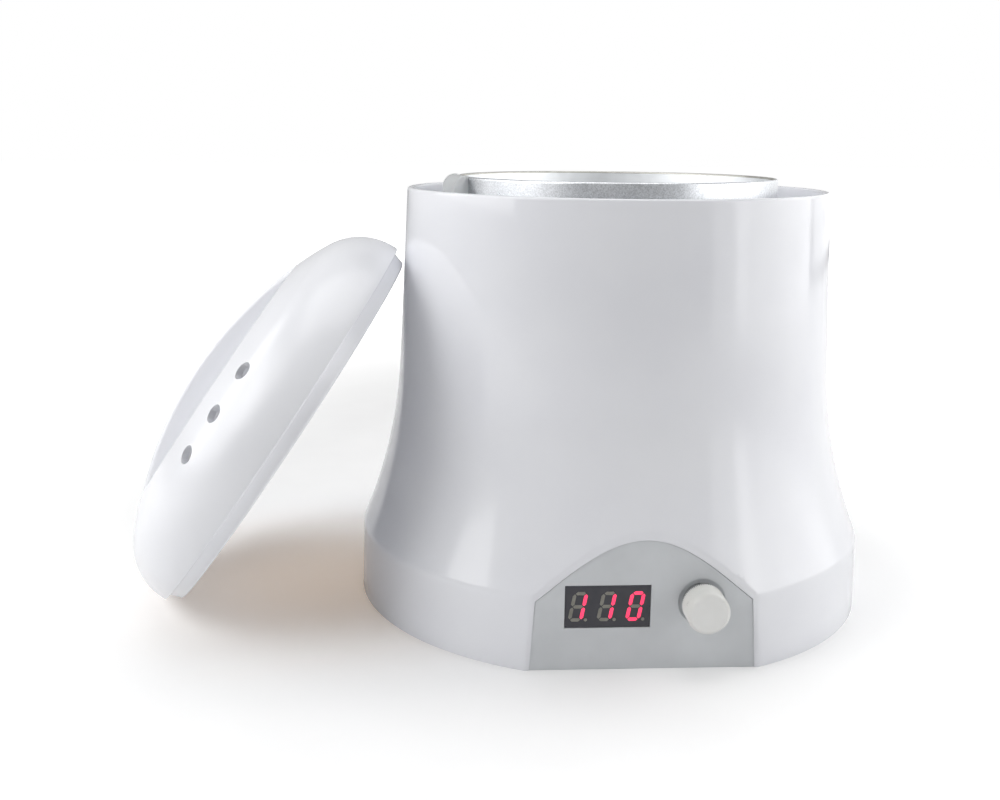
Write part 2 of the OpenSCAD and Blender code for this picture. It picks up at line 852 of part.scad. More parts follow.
module mains_fuse() {
  translate([-8, 4, top_z]) {
    color(steel) for (x = [0, 17]) translate([x, -3, 0]) cube([3, 6, 7]);
    color("#DDE6E8") translate([3, 0, 4]) rotate([0, 90, 0]) cylinder(r = 2.4, h = 14);
  }
}

block_x = -33;
module terminal_block() {
  translate([block_x, -8.5, top_z]) {
    color("#3F8F55")
    difference() {
      cube([25, 9, 12]);
      for (i = [0:4]) translate([2.5 + i * 5, 0, 0]) {
        translate([0, -1, 4]) rotate([-90, 0, 0]) cylinder(r = 1.6, h = 7);
        translate([0, 4.5, 7]) cylinder(r = 1.7, h = 8);
      }
    }
    color(steel)
    for (i = [0:4]) translate([2.5 + i * 5, 4.5, 7.2]) cylinder(r = 1.6, h = 2);
  }
}

socket_x = 20;
sensor_socket_x = 13.5;
module board_sockets() {
  color("#F0EEE6") {
    translate([socket_x, -11, top_z]) cube([13, 6, 8]);
    translate([sensor_socket_x, -11, top_z]) cube([5.5, 6, 8]);
    translate([-2, pcb_y + pcb_t, 12]) cube([13, 5, 6]);
  }
}

// A flat strip of thickness t along a list of points in the y-z plane
function side(p, t, s) = [for (i = [0:len(p) - 1])
  let (a = p[max(i - 1, 0)], b = p[min(i + 1, len(p) - 1)], d = (b - a) / norm(b - a))
  p[i] + s * t / 2 * [-d.y, d.x]];

module strip(points, t, w) {
  path = smooth(points);
  back = side(path, t, -1);
  rotate([90, 0, 90]) linear_extrude(w)
    polygon(concat(side(path, t, 1), [for (i = [len(back) - 1:-1:0]) back[i]]));
}

// The ribbon leaves the display board, dips towards the plate and rises to its socket
module ribbon_cable() {
  start = pcb_y + pcb_t + 5.1;
  color("#8C9096")
  translate([-0.5, 0, 0])
    strip([[start, 15], [start + 8, 14], [start + 20, 9], [-30, 9], [-18, 14], [-11.1, 16]], 1, 10);
}

// Wires: a round tube through points, rounded between them
function unit(v) = v / norm(v);
function mix(a, b, c, d, t) =
  0.5 * (2 * b + (c - a) * t + (2 * a - 5 * b + 4 * c - d) * t * t
    + (3 * b - a - 3 * c + d) * t * t * t);
function smooth(p, n = 4) = concat(
  [for (i = [0:len(p) - 2], k = [0:n - 1])
    mix(p[max(i - 1, 0)], p[i], p[i + 1], p[min(i + 2, len(p) - 1)], k / n)],
  [p[len(p) - 1]]);
function heading(p, i) = unit(p[min(i + 1, len(p) - 1)] - p[max(i - 1, 0)]);
function sides(p, i, u) = i == len(p) ? []
  : let (t = heading(p, i), w = unit(u - (u * t) * t)) concat([w], sides(p, i + 1, w));

module wire(points, r) {
  p = smooth(points);
  n = 8;
  first = heading(p, 0);
  u0 = abs(first.z) < 0.9 ? cross(first, [0, 0, 1]) : cross(first, [1, 0, 0]);
  u = sides(p, 0, u0);
  rings = [for (i = [0:len(p) - 1], k = [0:n - 1])
    let (t = heading(p, i), v = cross(t, u[i]))
    p[i] + r * (cos(k * 360 / n) * u[i] + sin(k * 360 / n) * v)];
  last = (len(p) - 1) * n;
  polyhedron(rings, concat(
    [[for (k = [n - 1:-1:0]) k]],
    [for (i = [0:len(p) - 2], k = [0:n - 1])
      let (a = i * n + k, b = i * n + (k + 1) % n) [a, b, b + n]],
    [for (i = [0:len(p) - 2], k = [0:n - 1])
      let (a = i * n + k, b = i * n + (k + 1) % n) [a, b + n, a + n]],
    [[for (k = [0:n - 1]) last + k]]
  ));
}

// Wire routes are chosen by hand, from the terminals they leave to those they reach
wire_r = 1.1;
terminal_z = top_z + 4;
module heater_leads() {
  tab = well_out + 0.1 + band_t + 2.8;
  tab_z = band_z + 1.8;
  for (s = [-1, 1]) {
    px = -tab * cos(band_gap / 2 + 3);
    py = s * tab * sin(band_gap / 2 + 3);
    color(s < 0 ? "#A83232" : "#E8E8E8")
    wire([[block_x + 5 - s * 2.5, -7, terminal_z], [block_x + 5 - s * 2.5, -12, terminal_z],
      [block_x + 3 - s * 2.5, -17, terminal_z + 1],
      [-50, -22 + s * 3, 24], [-64, -6 + s * 5, 46], [px, py, tab_z - 22], [px, py, tab_z]], wire_r);
  }
}

module cutout_leads() {
  for (s = [-1, 1])
    color("#3A6FB0")
    wire([[cutout_at.x + s * 4, 0, well_base - 15.1], [cutout_at.x + s * 4, -2, well_base - 24],
      [12 + s * 3, -20 - s * 3, 42], [-6 + s * 3, -26 - s * 2, 28],
      [block_x + 20 + s * 2.5, -17, terminal_z], [block_x + 20 + s * 2.5, -7, terminal_z]], wire_r);
}

module sensor_leads() {
  for (s = [-1, 1])
    color("#E0B030")
    wire([[sensor_at.x + s * 0.9, sensor_at.y - 13.1, well_base - 2.1],
      [sensor_at.x + s * 0.9, sensor_at.y - 18, well_base - 4],
      [sensor_at.x + 6 + s, sensor_at.y - 20, 50], [sensor_socket_x + 2.75 + s * 1.2, -26, 24],
      [sensor_socket_x + 2.75 + s * 1.2, -19, 16.5], [sensor_socket_x + 2.75 + s * 1.2, -11.1, 16]],
      0.65);
}

module earth_lead() {
  color("#6FA03A")
  wire([[earth_at.x - 8.1, earth_at.y, well_base - 1.4], [earth_at.x - 16, 31, well_base - 7],
    [-25, 6, 52], [-23, -14, 34], [block_x + 12.5, -20, 20],
    [block_x + 12.5, -15, terminal_z], [block_x + 12.5, -7, terminal_z]], wire_r);
}

// Cord gland in the back of the skirt, and the clamp inside
gland_r = 8;
cord_r = 3.5;
gland_y = skirt_r(gland_z);
gland_face = skirt_r(gland_z - gland_r) + 0.1;
module cord_gland() {
  inside = skirt_r(gland_z, wall);
  color("#E6E6E8")
  along_y(0, 0, gland_z)
    rotate_extrude() difference() {
      union() {
        translate([cord_r, inside - 4]) square([gland_neck_r - cord_r, gland_y + 4 - inside + 4]);
        translate([cord_r, inside - 3.4]) square([gland_r - cord_r, 2.6]);
        translate([cord_r, gland_face]) square([gland_r - cord_r, 2]);
      }
      translate([gland_r, gland_face + 2]) rotate(45) square(1.4, center = true);
    }
}

module cord_clamp() {
  z = plate_z + plate_t + 4.1;
  color("#E6E6E8")
  difference() {
    translate([-cord_post_x - 3.5, cord_y - 4, z]) cube([2 * cord_post_x + 7, 8, 8.5]);
    along_y(cord_y - 5, 0, z) cylinder(r = cord_r, h = 10);
    for (s = [-1, 1])
      translate([s * cord_post_x, cord_y, z - 1]) {
        cylinder(r = 1.45, h = 12);
        translate([0, 0, 4]) cylinder(r = 2.8, h = 12);
      }
  }
}

module clamp_screws() {
  color(steel)
  for (s = [-1, 1])
    translate([s * cord_post_x, cord_y, plate_z + plate_t + 7.1]) screw(1.2, 8, 2.4, 1.6);
}

// Pot with its lug
lug_back = -3.5;
lug_front = 19.5;
lug_t = 5.4;
lug_h = 17;
lug_top = pot_top + 0.4;
lug_round = 4.6;
rivet_r = 1.5;
rivet_angles = [3.5, 12.5];
rivet_z = lug_top - 10;

module pot() {
  edge = pot_wall / 2;
  color(aluminium_grey)
  difference() {
    rotate_extrude() {
      difference() {
        can_section(pot_r, pot_floor, pot_top - edge, pot_corner);
        can_section(pot_r - pot_wall, pot_floor + pot_wall, pot_top + 1, pot_corner - pot_wall);
      }
      translate([pot_r - edge, pot_top - edge]) circle(r = edge);
    }
    for (a = rivet_angles)
      rotate(180 + a) translate([pot_r - 2 * pot_wall, 0, rivet_z]) rotate([0, 90, 0])
        cylinder(r = rivet_r + run_gap, h = 3 * pot_wall);
  }
}

module pot_lug() {
  r0 = pot_r + 0.1;
  r1 = r0 + lug_t;
  color("#C3CCD3")
  difference() {
    rotate(180 + lug_back) rotate_extrude(angle = lug_front - lug_back)
      union() {
        translate([r0, lug_top - lug_h]) square([lug_t, lug_h - lug_round]);
        translate([r0, lug_top - lug_h]) square([lug_t - lug_round, lug_h]);
        intersection() {
          translate([r1 - lug_round, lug_top - lug_round]) circle(r = lug_round);
          translate([r0, lug_top - lug_round]) square(lug_t);
        }
      }
    for (a = rivet_angles)
      rotate(180 + a) translate([r0 - 1, 0, rivet_z]) rotate([0, 90, 0]) {
        cylinder(r = rivet_r + run_gap, h = lug_t + 3);
        translate([0, 0, 1 + lug_t - 1.4]) cylinder(r = 2.8, h = 3);
      }
  }
}

module lug_rivets() {
  color(steel)
  for (a = rivet_angles)
    rotate(180 + a) translate([pot_r - pot_wall - 1.1, 0, rivet_z]) rotate([0, 90, 0]) {
      cylinder(r = rivet_r, h = lug_t + pot_wall + 0.2);
      cylinder(r1 = 1.9, r2 = 2.7, h = 0.9);
      translate([0, 0, lug_t + pot_wall - 0.1]) cylinder(r1 = 2.6, r2 = 1.7, h = 1.1);
    }
}

// A steel strap that lies against the pot at the lug's front edge
module lug_strap() {
  color("#3C4A52")
  rotate(180 + lug_front + 0.3) rotate_extrude(angle = 1.6)
    translate([pot_r + 0.1, lug_top - lug_h + 0.5]) square([1, lug_h - 7]);
}

// Lid: dome of two tangent arcs, round recess with a bar across, lip below
lip_r = rim_r - wall - fit_gap;
dome_r = rim_r + lid_overhang;
edge_h = 0.6;
side_r = 24;
crown_rise = dome_h - edge_h;
crown_r = (pow(dome_r - side_r, 2) + pow(crown_rise, 2) - pow(side_r, 2))
  / (2 * (crown_rise - side_r));
crown_z = lip_h + dome_h - crown_r;
join_r = crown_r * (dome_r - side_r) / (crown_r - side_r);
function dome_z(r) = crown_z + sqrt(crown_r * crown_r - r * r);
recess_floor = dome_z(recess_r) - recess_depth;
bowl_r = (recess_r * recess_r + recess_depth * recess_depth) / (2 * recess_depth);
bowl_z = recess_floor + bowl_r;
shelf_t = 2;
lid_edge_r = 2;

// Half section of the dome, moved inwards by o
module dome_section(o = 0) {
  side_c = [dome_r - side_r, lip_h + edge_h];
  ray = side_c + 2 * dome_h * unit(side_c - [0, crown_z]);
  intersection() {
    translate([0, crown_z]) circle(r = crown_r - o, $fn = 720);
    polygon([[0, side_c.y], side_c, ray, [0, ray.y]]);
  }
  intersection() {
    translate(side_c) circle(r = side_r - o, $fn = 240);
    polygon([side_c, [2 * dome_r, side_c.y], [2 * dome_r, ray.y], ray]);
  }
  translate([0, lip_h]) square([dome_r - o, edge_h]);
}

// The bowl-shaped recess, moved outwards by o, with a rounded edge on the outside
module recess_section(o = 0) {
  intersection() {
    translate([0, bowl_z]) circle(r = bowl_r + o, $fn = 720);
    translate([0, recess_floor - o - 1]) square([recess_r + o, 3 * recess_depth]);
  }
  if (o == 0) {
    f = lid_edge_r;
    z = (pow(crown_r - f, 2) - pow(bowl_r + f, 2) + bowl_z * bowl_z - crown_z * crown_z)
      / (2 * (bowl_z - crown_z));
    c = [sqrt(pow(crown_r - f, 2) - pow(z - crown_z, 2)), z];
    on_crown = c + f * unit(c - [0, crown_z]);
    on_bowl = c - f * unit(c - [0, bowl_z]);
    difference() {
      polygon([c, on_crown, on_crown + [0, 3 * f], on_bowl + [-3 * f, 3 * f], on_bowl]);
      translate(c) circle(r = f);
    }
  }
}

// The bar's top follows the crown: a disc on edge with a rounded rim
module bar_disc(o = 0) {
  half = bar_w / 2 - o;
  top = crown_r - o - 0.04;
  round_r = min(2.2, half - 0.5);
  translate([0, 0, crown_z]) rotate([90, 0, 0])
    rotate_extrude($fn = 360) {
      translate([0, -half]) square([top - round_r, 2 * half]);
      translate([0, -half + round_r]) square([top, 2 * (half - round_r)]);
      for (s = [-1, 1])
        translate([top - round_r, s * (half - round_r)]) circle(r = round_r, $fn = 48);
    }
}

module recess_cut(o = 0) {
  difference() {
    rotate_extrude() recess_section(o);
    bar_disc(o);
  }
}

module lid_body() {
  difference() {
    union() {
      difference() {
        rotate_extrude() dome_section();
        recess_cut();
      }
      cylinder(r = lip_r, h = lip_h + e);
    }
    difference() {
      union() {
        rotate_extrude() intersection() {
          dome_section(lid_wall);
          translate([0, lip_h + shelf_t]) square(2 * dome_r);
        }
        translate([0, 0, -1]) cylinder(r = lip_r - lid_wall, h = lip_h + shelf_t + 1 + e);
      }
      difference() {
        rotate_extrude() recess_section(lid_wall);
        bar_disc(lid_wall);
      }
    }
    for (i = [-1:1])
      rotate(-90 + i * vent_step) translate([vent_ring, 0, dome_z(vent_ring)])
        rotate([0, asin(vent_ring / crown_r), 0])
          translate([0, 0, -4 * lid_wall]) cylinder(r = vent_d / 2, h = 8 * lid_wall);
  }
}

// The lid leans at the left, its lip on the table and against the wall
lid_touch_z = 2 * lip_r * sin(lid_lean);
lid_touch_x = -sqrt(pow(body_r(lid_touch_z) + fit_gap, 2) - lid_forward * lid_forward);
lid_rest_z = max(lip_r * sin(lid_lean), dome_r * sin(lid_lean) - lip_h * cos(lid_lean));
lid_at = [lid_touch_x - lip_r * cos(lid_lean), -lid_forward, lid_rest_z];

module lid() {
  color("#F3F3F6")
  translate(lid_at) rotate([0, -lid_lean, 0]) rotate(lid_spin) lid_body();
}

housing();
inner_ring();
ring_screws();
heating_well();
well_screws();
heater_band();
clamp_band();
insulation_wrap();
thermal_cutout();
thermal_fuse();
temperature_sensor();
sensor_nuts();
earth_tag();
base_plate();
feet();
base_screws();
control_panel();
panel_screws();
display_module();
lit_segments();
unlit_segments();
display_board();
board_screws();
encoder_body();
encoder_nut();
encoder_plunger();
encoder_shaft();
knob();
power_board();
power_board_screws();
transformer();
relay();
capacitors();
mains_fuse();
terminal_block();
board_sockets();
ribbon_cable();
heater_leads();
sensor_leads();
cutout_leads();
earth_lead();
cord_gland();
cord_clamp();
clamp_screws();
pot();
pot_lug();
lug_rivets();
lug_strap();
lid();
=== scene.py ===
# %% [markdown]
# # A wax warmer
# This file dresses a wax warmer for its picture: a flared white housing with a grey
# control panel cut flat into its foot, an aluminium pot, one ridged knob and a domed
# lid that leans at its side. The engineering model is loaded first and never moves.
# What has a large glossy curve is then turned again with a finer mesh, because a
# reflection shows every facet. A few flat pieces are copied with rounded edges, and
# everything else keeps its own mesh.

# %% Load the engineering model
import json
import math

import bmesh
import bpy
from mathutils import Matrix, Vector


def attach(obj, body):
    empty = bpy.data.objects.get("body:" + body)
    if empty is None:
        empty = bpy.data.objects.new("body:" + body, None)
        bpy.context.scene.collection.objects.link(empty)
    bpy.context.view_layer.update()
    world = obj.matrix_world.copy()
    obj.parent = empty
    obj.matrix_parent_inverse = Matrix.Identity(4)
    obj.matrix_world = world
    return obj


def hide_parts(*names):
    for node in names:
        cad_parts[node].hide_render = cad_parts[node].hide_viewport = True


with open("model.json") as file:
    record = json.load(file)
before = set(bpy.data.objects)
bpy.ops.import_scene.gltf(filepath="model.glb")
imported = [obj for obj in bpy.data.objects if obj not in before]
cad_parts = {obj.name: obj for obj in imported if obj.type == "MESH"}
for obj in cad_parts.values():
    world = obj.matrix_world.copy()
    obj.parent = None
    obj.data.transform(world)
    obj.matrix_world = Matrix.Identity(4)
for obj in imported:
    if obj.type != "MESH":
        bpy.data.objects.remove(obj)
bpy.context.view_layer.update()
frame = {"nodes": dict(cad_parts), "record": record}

# %% [markdown]
# Blender works in metres and the drawings of this object are in millimetres, so one
# small function turns one into the other, for a single size or for a point.

# %% Millimetres
def mm(*sizes):
    """Millimetres as metres: one size as a number, three as a point."""
    metres = [s / 1000 for s in sizes]
    return metres[0] if len(metres) == 1 else Vector(metres)


print("a 14 mm knob is", mm(14), "m")

# %% [markdown]
# The camera stands a little left of the middle and looks slightly down. Its place was
# worked out from the outlines of the housing, the panel and the lid, so it is given
# as a place, a turn and a tilt, and the lens as its focal length in pixels.

# %% Camera
camera_place = mm(-70.67, -451.32, 172.44)
turn, tilt, roll = 0.06247, 0.21962, -0.01072
focal_pixels, frame_pixels = 1200.88, 1000
sensor_width = 36

ahead = Vector((
    math.sin(turn) * math.cos(tilt), math.cos(turn) * math.cos(tilt), -math.sin(tilt)))
level = Vector((math.cos(turn), -math.sin(turn), 0))
below = ahead.cross(level)
right = math.cos(roll) * level + math.sin(roll) * below
down = -math.sin(roll) * level + math.cos(roll) * below

bpy.ops.object.camera_add(location=camera_place)
camera = bpy.context.object
camera.name = "camera"
camera.rotation_euler = Matrix((right, -down, -ahead)).transposed().to_euler()
camera.data.sensor_width = sensor_width
camera.data.lens = focal_pixels * sensor_width / frame_pixels
camera.data.clip_start = 0.01
bpy.context.scene.camera = camera
print("lens", round(camera.data.lens, 2), "mm")

# %% [markdown]
# These are the sizes that several pieces share, in millimetres. The origin is the
# middle of the foot on the table, and the panel faces -Y. The wall is a drafted cone
# that flows into a large arc, and the arc ends at the crease above the skirt.

# %% Shared sizes
rim_radius, body_height, wall = 77.5, 152.5, 2.2
crease_radius, skirt_height, base_radius = 95.0, 25.5, 95.75
flare_radius, draft = 185.0, math.radians(2.7)
front_plane = -87.4
panel_face = -87.2
pot_radius, pot_top, pot_height, pot_wall = 59.0, 156.8, 76.0, 1.5
deck_height = 138.0
knob_x, knob_z = 18.9, 23.3
gland_z = 13.0

along_wall = Vector((math.sin(draft), -math.cos(draft)))
out_of_wall = Vector((math.cos(draft), math.sin(draft)))
to_crease = Vector((crease_radius - rim_radius, skirt_height - body_height))
drop, reach = to_crease.dot(along_wall), to_crease.dot(out_of_wall)
straight = drop - math.sqrt(2 * flare_radius * reach - reach * reach)
flare_centre = Vector((rim_radius, body_height)) + straight * along_wall
flare_centre += flare_radius * out_of_wall


def wall_radius(z, inset=0.0):
    """Radius of the housing's outside at a height, moved inwards by inset."""
    outer = flare_radius + inset
    tangent = flare_centre.y - outer * out_of_wall.y
    if z >= tangent:
        return rim_radius + (body_height - z) * math.tan(draft) - inset / math.cos(draft)
    height = max(z, skirt_height)
    radius = flare_centre.x - math.sqrt(outer**2 - (height - flare_centre.y) ** 2)
    if z < skirt_height:
        radius += (base_radius - crease_radius) * (1 - z / skirt_height)
    return radius


print("flare centre", [round(v, 2) for v in flare_centre])
print("radius at 60 mm:", round(wall_radius(60), 2))

# %% [markdown]
# Every edit starts from a clean selection, because an operator acts on all that is
# selected. Edges are then chosen by a test on the places of their ends. A piece that is
# made upright and then laid down gets its place and turn baked into its mesh.

# %% Selecting
WELD = 1e-6  # points closer than this, in metres, are one point
ALONG_Y, BACKWARDS = (math.pi / 2, 0, 0), (-math.pi / 2, 0, 0)  # turns of the upright axis


def select_only(*objects):
    """Leaves edit mode and selects just these objects; the last becomes active."""
    if bpy.context.mode != "OBJECT":
        bpy.ops.object.mode_set(mode="OBJECT")
    bpy.ops.object.select_all(action="DESELECT")
    for obj in objects:
        obj.select_set(True)
        bpy.context.view_layer.objects.active = obj


def edit(obj, kind="VERT"):
    """Edit mode on one object, with one kind of item to select and all of it selected."""
    select_only(obj)
    bpy.ops.object.mode_set(mode="EDIT")
    bpy.ops.mesh.select_mode(type=kind)
    bpy.ops.mesh.select_all(action="SELECT")


def choose_edges(obj, test):
    """In edit mode, selects the edges whose two ends, in mm, pass the test."""
    bpy.ops.mesh.select_mode(type="EDGE")
    bpy.ops.mesh.select_all(action="DESELECT")
    mesh = bmesh.from_edit_mesh(obj.data)
    for item in mesh.edges:
        if test(*(v.co * 1000 for v in item.verts)):
            item.select_set(True)
    bmesh.update_edit_mesh(obj.data)


def close_mesh():
    """Turns all faces of the edited piece outwards and leaves edit mode."""
    bpy.ops.mesh.select_all(action="SELECT")
    bpy.ops.mesh.normals_make_consistent(inside=False)
    bpy.ops.object.mode_set(mode="OBJECT")


def fix_place(obj, location, rotation):
    """Moves and turns an object, then bakes its place, turn and scale into its mesh."""
    select_only(obj)
    obj.location, obj.rotation_euler = location, rotation
    bpy.ops.object.transform_apply()


print("selection helpers ready")

# %% [markdown]
# Most pieces of this object are round, so they are made as on a lathe: one point is
# extruded along half of the outline, and the line is spun round the upright axis.

# %% Turning on the lathe
def line_through(name, points):
    """A mesh of a line through points in metres, selected in edit mode, its origin the world's."""
    select_only()
    bpy.ops.mesh.primitive_plane_add(size=0.001)
    obj = bpy.context.object
    obj.name = obj.data.name = name
    edit(obj)
    bpy.ops.mesh.merge(type="CENTER")
    bpy.ops.transform.translate(value=points[0])
    for a, b in zip(points, points[1:]):
        bpy.ops.mesh.extrude_region_move(TRANSFORM_OT_translate={"value": b - a})
    bpy.ops.mesh.select_all(action="SELECT")
    return obj


def turned(name, outline, steps=240, start=0.0, sweep=360.0):
    """A piece turned from an outline of (radius, height) in mm; angles are in degrees."""
    first = math.radians(start)
    points = [mm(r * math.cos(first), r * math.sin(first), z) for r, z in outline]
    obj = line_through(name, points)
    bpy.ops.mesh.spin(
        steps=steps, angle=math.radians(sweep), center=(0, 0, 0), axis=(0, 0, -1))
    bpy.ops.mesh.select_all(action="SELECT")
    bpy.ops.mesh.remove_doubles(threshold=WELD)
    if sweep < 360:
        bpy.ops.mesh.select_mode(type="EDGE")
        bpy.ops.mesh.select_all(action="DESELECT")
        bpy.ops.mesh.select_non_manifold()
        bpy.ops.mesh.edge_face_add()
    close_mesh()
    return obj


def arc(centre, radius, first, last, count):
    """Points of an arc, from one angle to another in degrees, both ends included."""
    angles = [math.radians(first + (last - first) * i / count) for i in range(count + 1)]
    return [(centre[0] + radius * math.cos(a), centre[1] + radius * math.sin(a)) for a in angles]


print("lathe ready")

# %% [markdown]
# Openings are cut with a second solid, as a milling cutter would. The exact solver is
# used because it leaves the untouched faces as they were, so curves stay smooth.

# %% Cutting and rounding
def combine(obj, tool, how="DIFFERENCE"):
    """Cuts, joins or intersects a piece with a tool, which is used up."""
    select_only(obj)
    bpy.ops.object.modifier_add(type="BOOLEAN")
    modifier = obj.modifiers[-1]
    modifier.operation, modifier.object, modifier.solver = how, tool, "EXACT"
    bpy.ops.object.modifier_apply(modifier=modifier.name)
    bpy.data.objects.remove(tool)
    edit(obj)
    bpy.ops.mesh.remove_doubles(threshold=2 * WELD)
    bpy.ops.object.mode_set(mode="OBJECT")
    return obj


def soften(obj, width, segments=2, angle=30):
    """Rounds every edge that is sharper than an angle, as a mould or a file does."""
    select_only(obj)
    bpy.ops.object.modifier_add(type="BEVEL")
    modifier = obj.modifiers[-1]
    modifier.width, modifier.segments = mm(width), segments
    modifier.limit_method, modifier.angle_limit = "ANGLE", math.radians(angle)
    bpy.ops.object.modifier_apply(modifier=modifier.name)
    return obj


def shade(obj, angle=30):
    """Smooth shading, kept crisp where faces meet at more than an angle."""
    select_only(obj)
    bpy.ops.object.shade_smooth_by_angle(angle=math.radians(angle))
    return obj


def cylinder(name, radius, height, place, tilt=(0, 0, 0), vertices=96):
    """A cutter: a cylinder in mm about its middle, with its place in its mesh."""
    select_only()
    bpy.ops.mesh.primitive_cylinder_add(
        vertices=vertices, radius=mm(radius), depth=mm(height), location=mm(*place), rotation=tilt)
    obj = bpy.context.object
    obj.name = obj.data.name = name
    bpy.ops.object.transform_apply()
    return obj


def block(name, low, high):
    """A cutter: a box between two corners in mm, with its place in its mesh."""
    select_only()
    low, high = Vector(low), Vector(high)
    bpy.ops.mesh.primitive_cube_add(size=1, location=(low + high) / 2000)
    obj = bpy.context.object
    obj.name = obj.data.name = name
    obj.scale = (high - low) / 1000
    bpy.ops.object.transform_apply()
    return obj


print("cutters ready")

# %% [markdown]
# The housing is one moulded shell. Its outside is turned as a solid, the foot is cut
# flat for the panel, and a second turned solid hollows it, which leaves the flat its
# own wall. The crease above the skirt and the edge of the flat are soft on the real
# one, so both are bevelled before anything else is cut.

# %% Housing, outside
def wall_outline(inset, low, high):
    """The wall's outline from low to high, in mm, moved inwards by inset."""
    heights = [low, 8, 17, skirt_height]
    heights += [skirt_height + 70 * i / 56 for i in range(1, 57)]
    heights += [102, 112, 122, 132, 142, high]
    return [(wall_radius(z, inset), z) for z in heights]


rim_round = 0.95
shoulder = body_height - rim_round
rim_outside = arc((wall_radius(shoulder) - rim_round, shoulder), rim_round, 0, 90, 5)[1:]
shell_steps, near = 360, 0.01
crease_round, flat_round = 1.1, 0.45


def cut_front(y):
    """Cuts away, in edit mode, all of the piece that lies in front of a plane at y, in mm."""
    bpy.ops.mesh.select_all(action="SELECT")
    bpy.ops.mesh.bisect(
        plane_co=mm(0, y, 0), plane_no=(0, -1, 0), use_fill=True, clear_outer=True)


shell = turned("warmer_housing", [(0, 0)] + wall_outline(0, 0, shoulder) + rim_outside
    + [(0, body_height)], shell_steps)
edit(shell, "EDGE")
choose_edges(shell, lambda a, b: max(abs(a.z - skirt_height), abs(b.z - skirt_height)) < near)
bpy.ops.mesh.bevel(offset=mm(crease_round), segments=5, profile=0.5)
cut_front(front_plane)
choose_edges(shell, lambda a, b: a.z + b.z > 1
    and max(abs(a.y - front_plane), abs(b.y - front_plane)) < near)
bpy.ops.mesh.bevel(offset=mm(flat_round), segments=3, profile=0.5)
bpy.ops.object.mode_set(mode="OBJECT")
print("housing outside:", len(shell.data.polygons), "faces")

# %% [markdown]
# The inside is the same outline moved in by the wall. It runs out past both ends so
# that one cut opens the top and the bottom, and it flares at the top to round the rim.

# %% Housing, inside
rim_inside = arc((wall_radius(shoulder, wall) + rim_round, shoulder), rim_round, 180, 90, 5)[1:]
hollow = turned("hollow", [(0, -6)] + wall_outline(wall, -6, shoulder) + rim_inside
    + [(rim_inside[-1][0], body_height + 6), (0, body_height + 6)], shell_steps)
edit(hollow)
cut_front(front_plane + wall)
bpy.ops.object.mode_set(mode="OBJECT")
combine(shell, hollow)
print("housing hollowed:", len(shell.data.polygons), "faces")

# %% [markdown]
# The panel's outline follows the arch that the flat cuts out of the flare, a border
# of 2 mm inside it. In the picture it is a little wider, with fuller shoulders, so
# each point of it is moved by a small rule. The opening in the housing is the same
# outline with a hair of clearance, which is the thin dark line round the panel.

# %% The panel's opening
half_at_foot = math.sqrt(base_radius**2 - front_plane**2)
half_at_crease = math.sqrt(crease_radius**2 - front_plane**2)
border = 2.0
side_gain, foot_drop, arch_drop, shoulder_lift = 0.56, 0.35, 0.42, 0.9


def arch(x):
    """Height at which the flare's outside crosses the flat, at a distance from its middle."""
    across = flare_centre.x - math.hypot(x, front_plane)
    return flare_centre.y - math.sqrt(flare_radius**2 - across**2)


def fuller(x, z):
    """Where a point (x, z) of the panel's outline, in mm, lies on the panel that is seen."""
    wide = x * (1 + side_gain / half_at_foot)
    if z < 2:
        return wide, z - foot_drop
    return wide, z - arch_drop + shoulder_lift * (abs(x) / (half_at_crease - border)) ** 6


def panel_outline(grow, foot):
    """The panel's outline as (x, z) in mm: up one side, over the arch and down the other."""
    shoulder = half_at_crease - border + grow
    side = half_at_foot - border + grow
    steps = [i / 20 for i in range(20, -21, -1)]
    top = [(shoulder * s, arch(half_at_crease * s) - border * 1.1 + grow) for s in steps]
    return [fuller(x, z) for x, z in [(-side, foot), (side, foot)] + top]


def plate(name, outline, front, back):
    """A flat plate with an outline in the x-z plane, from one y to another."""
    obj = line_through(name, [mm(x, front, z) for x, z in outline])
    bpy.ops.mesh.edge_face_add()
    bpy.ops.mesh.extrude_region_move(TRANSFORM_OT_translate={"value": mm(0, back - front, 0)})
    close_mesh()
    return obj


panel_gap, gland_hole = 0.15, 5.25
opening = plate("opening", panel_outline(panel_gap, -3), front_plane - 1, front_plane + wall + 1)
combine(shell, opening)
combine(shell, cylinder("gland_hole", gland_hole, 20, (0, 94, gland_z), ALONG_Y))
soften(shell, 0.3, 2, 35)
shade(shell, 32)
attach(shell, "base")
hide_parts("housing")
print("housing:", len(shell.data.polygons), "faces")

# %% [markdown]
# Pieces whose form is already right keep it: a copy of the engineering mesh has its
# loose triangles merged, flat faces are joined again, and the edges are rounded by a
# fraction of a millimetre, which is what catches the light on a real moulding.

# %% Copies with rounded edges
def softened_copy(name, node, width, segments=2, angle=30, shape=None):
    """A copy of an engineering node that stands for it, shaped if asked, with rounded edges."""
    source = frame["nodes"][node]
    obj = source.copy()
    obj.data = source.data.copy()
    bpy.context.scene.collection.objects.link(obj)
    for key in list(obj.keys()):
        del obj[key]
    obj.parent = None
    obj.name = obj.data.name = name
    select_only(obj)
    bpy.ops.mesh.customdata_custom_splitnormals_clear()
    edit(obj)
    bpy.ops.mesh.remove_doubles(threshold=WELD)
    bpy.ops.mesh.dissolve_limited(angle_limit=math.radians(0.5))
    bpy.ops.object.mode_set(mode="OBJECT")
    obj.data.materials.clear()
    if shape:
        shape(obj)
    if width:
        soften(obj, width, segments, angle)
    shade(obj, angle)
    bodies = frame["record"]["behaviour"]["bodies"]
    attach(obj, next(body for body, nodes in bodies.items() if node in nodes))
    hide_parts(node)
    return obj


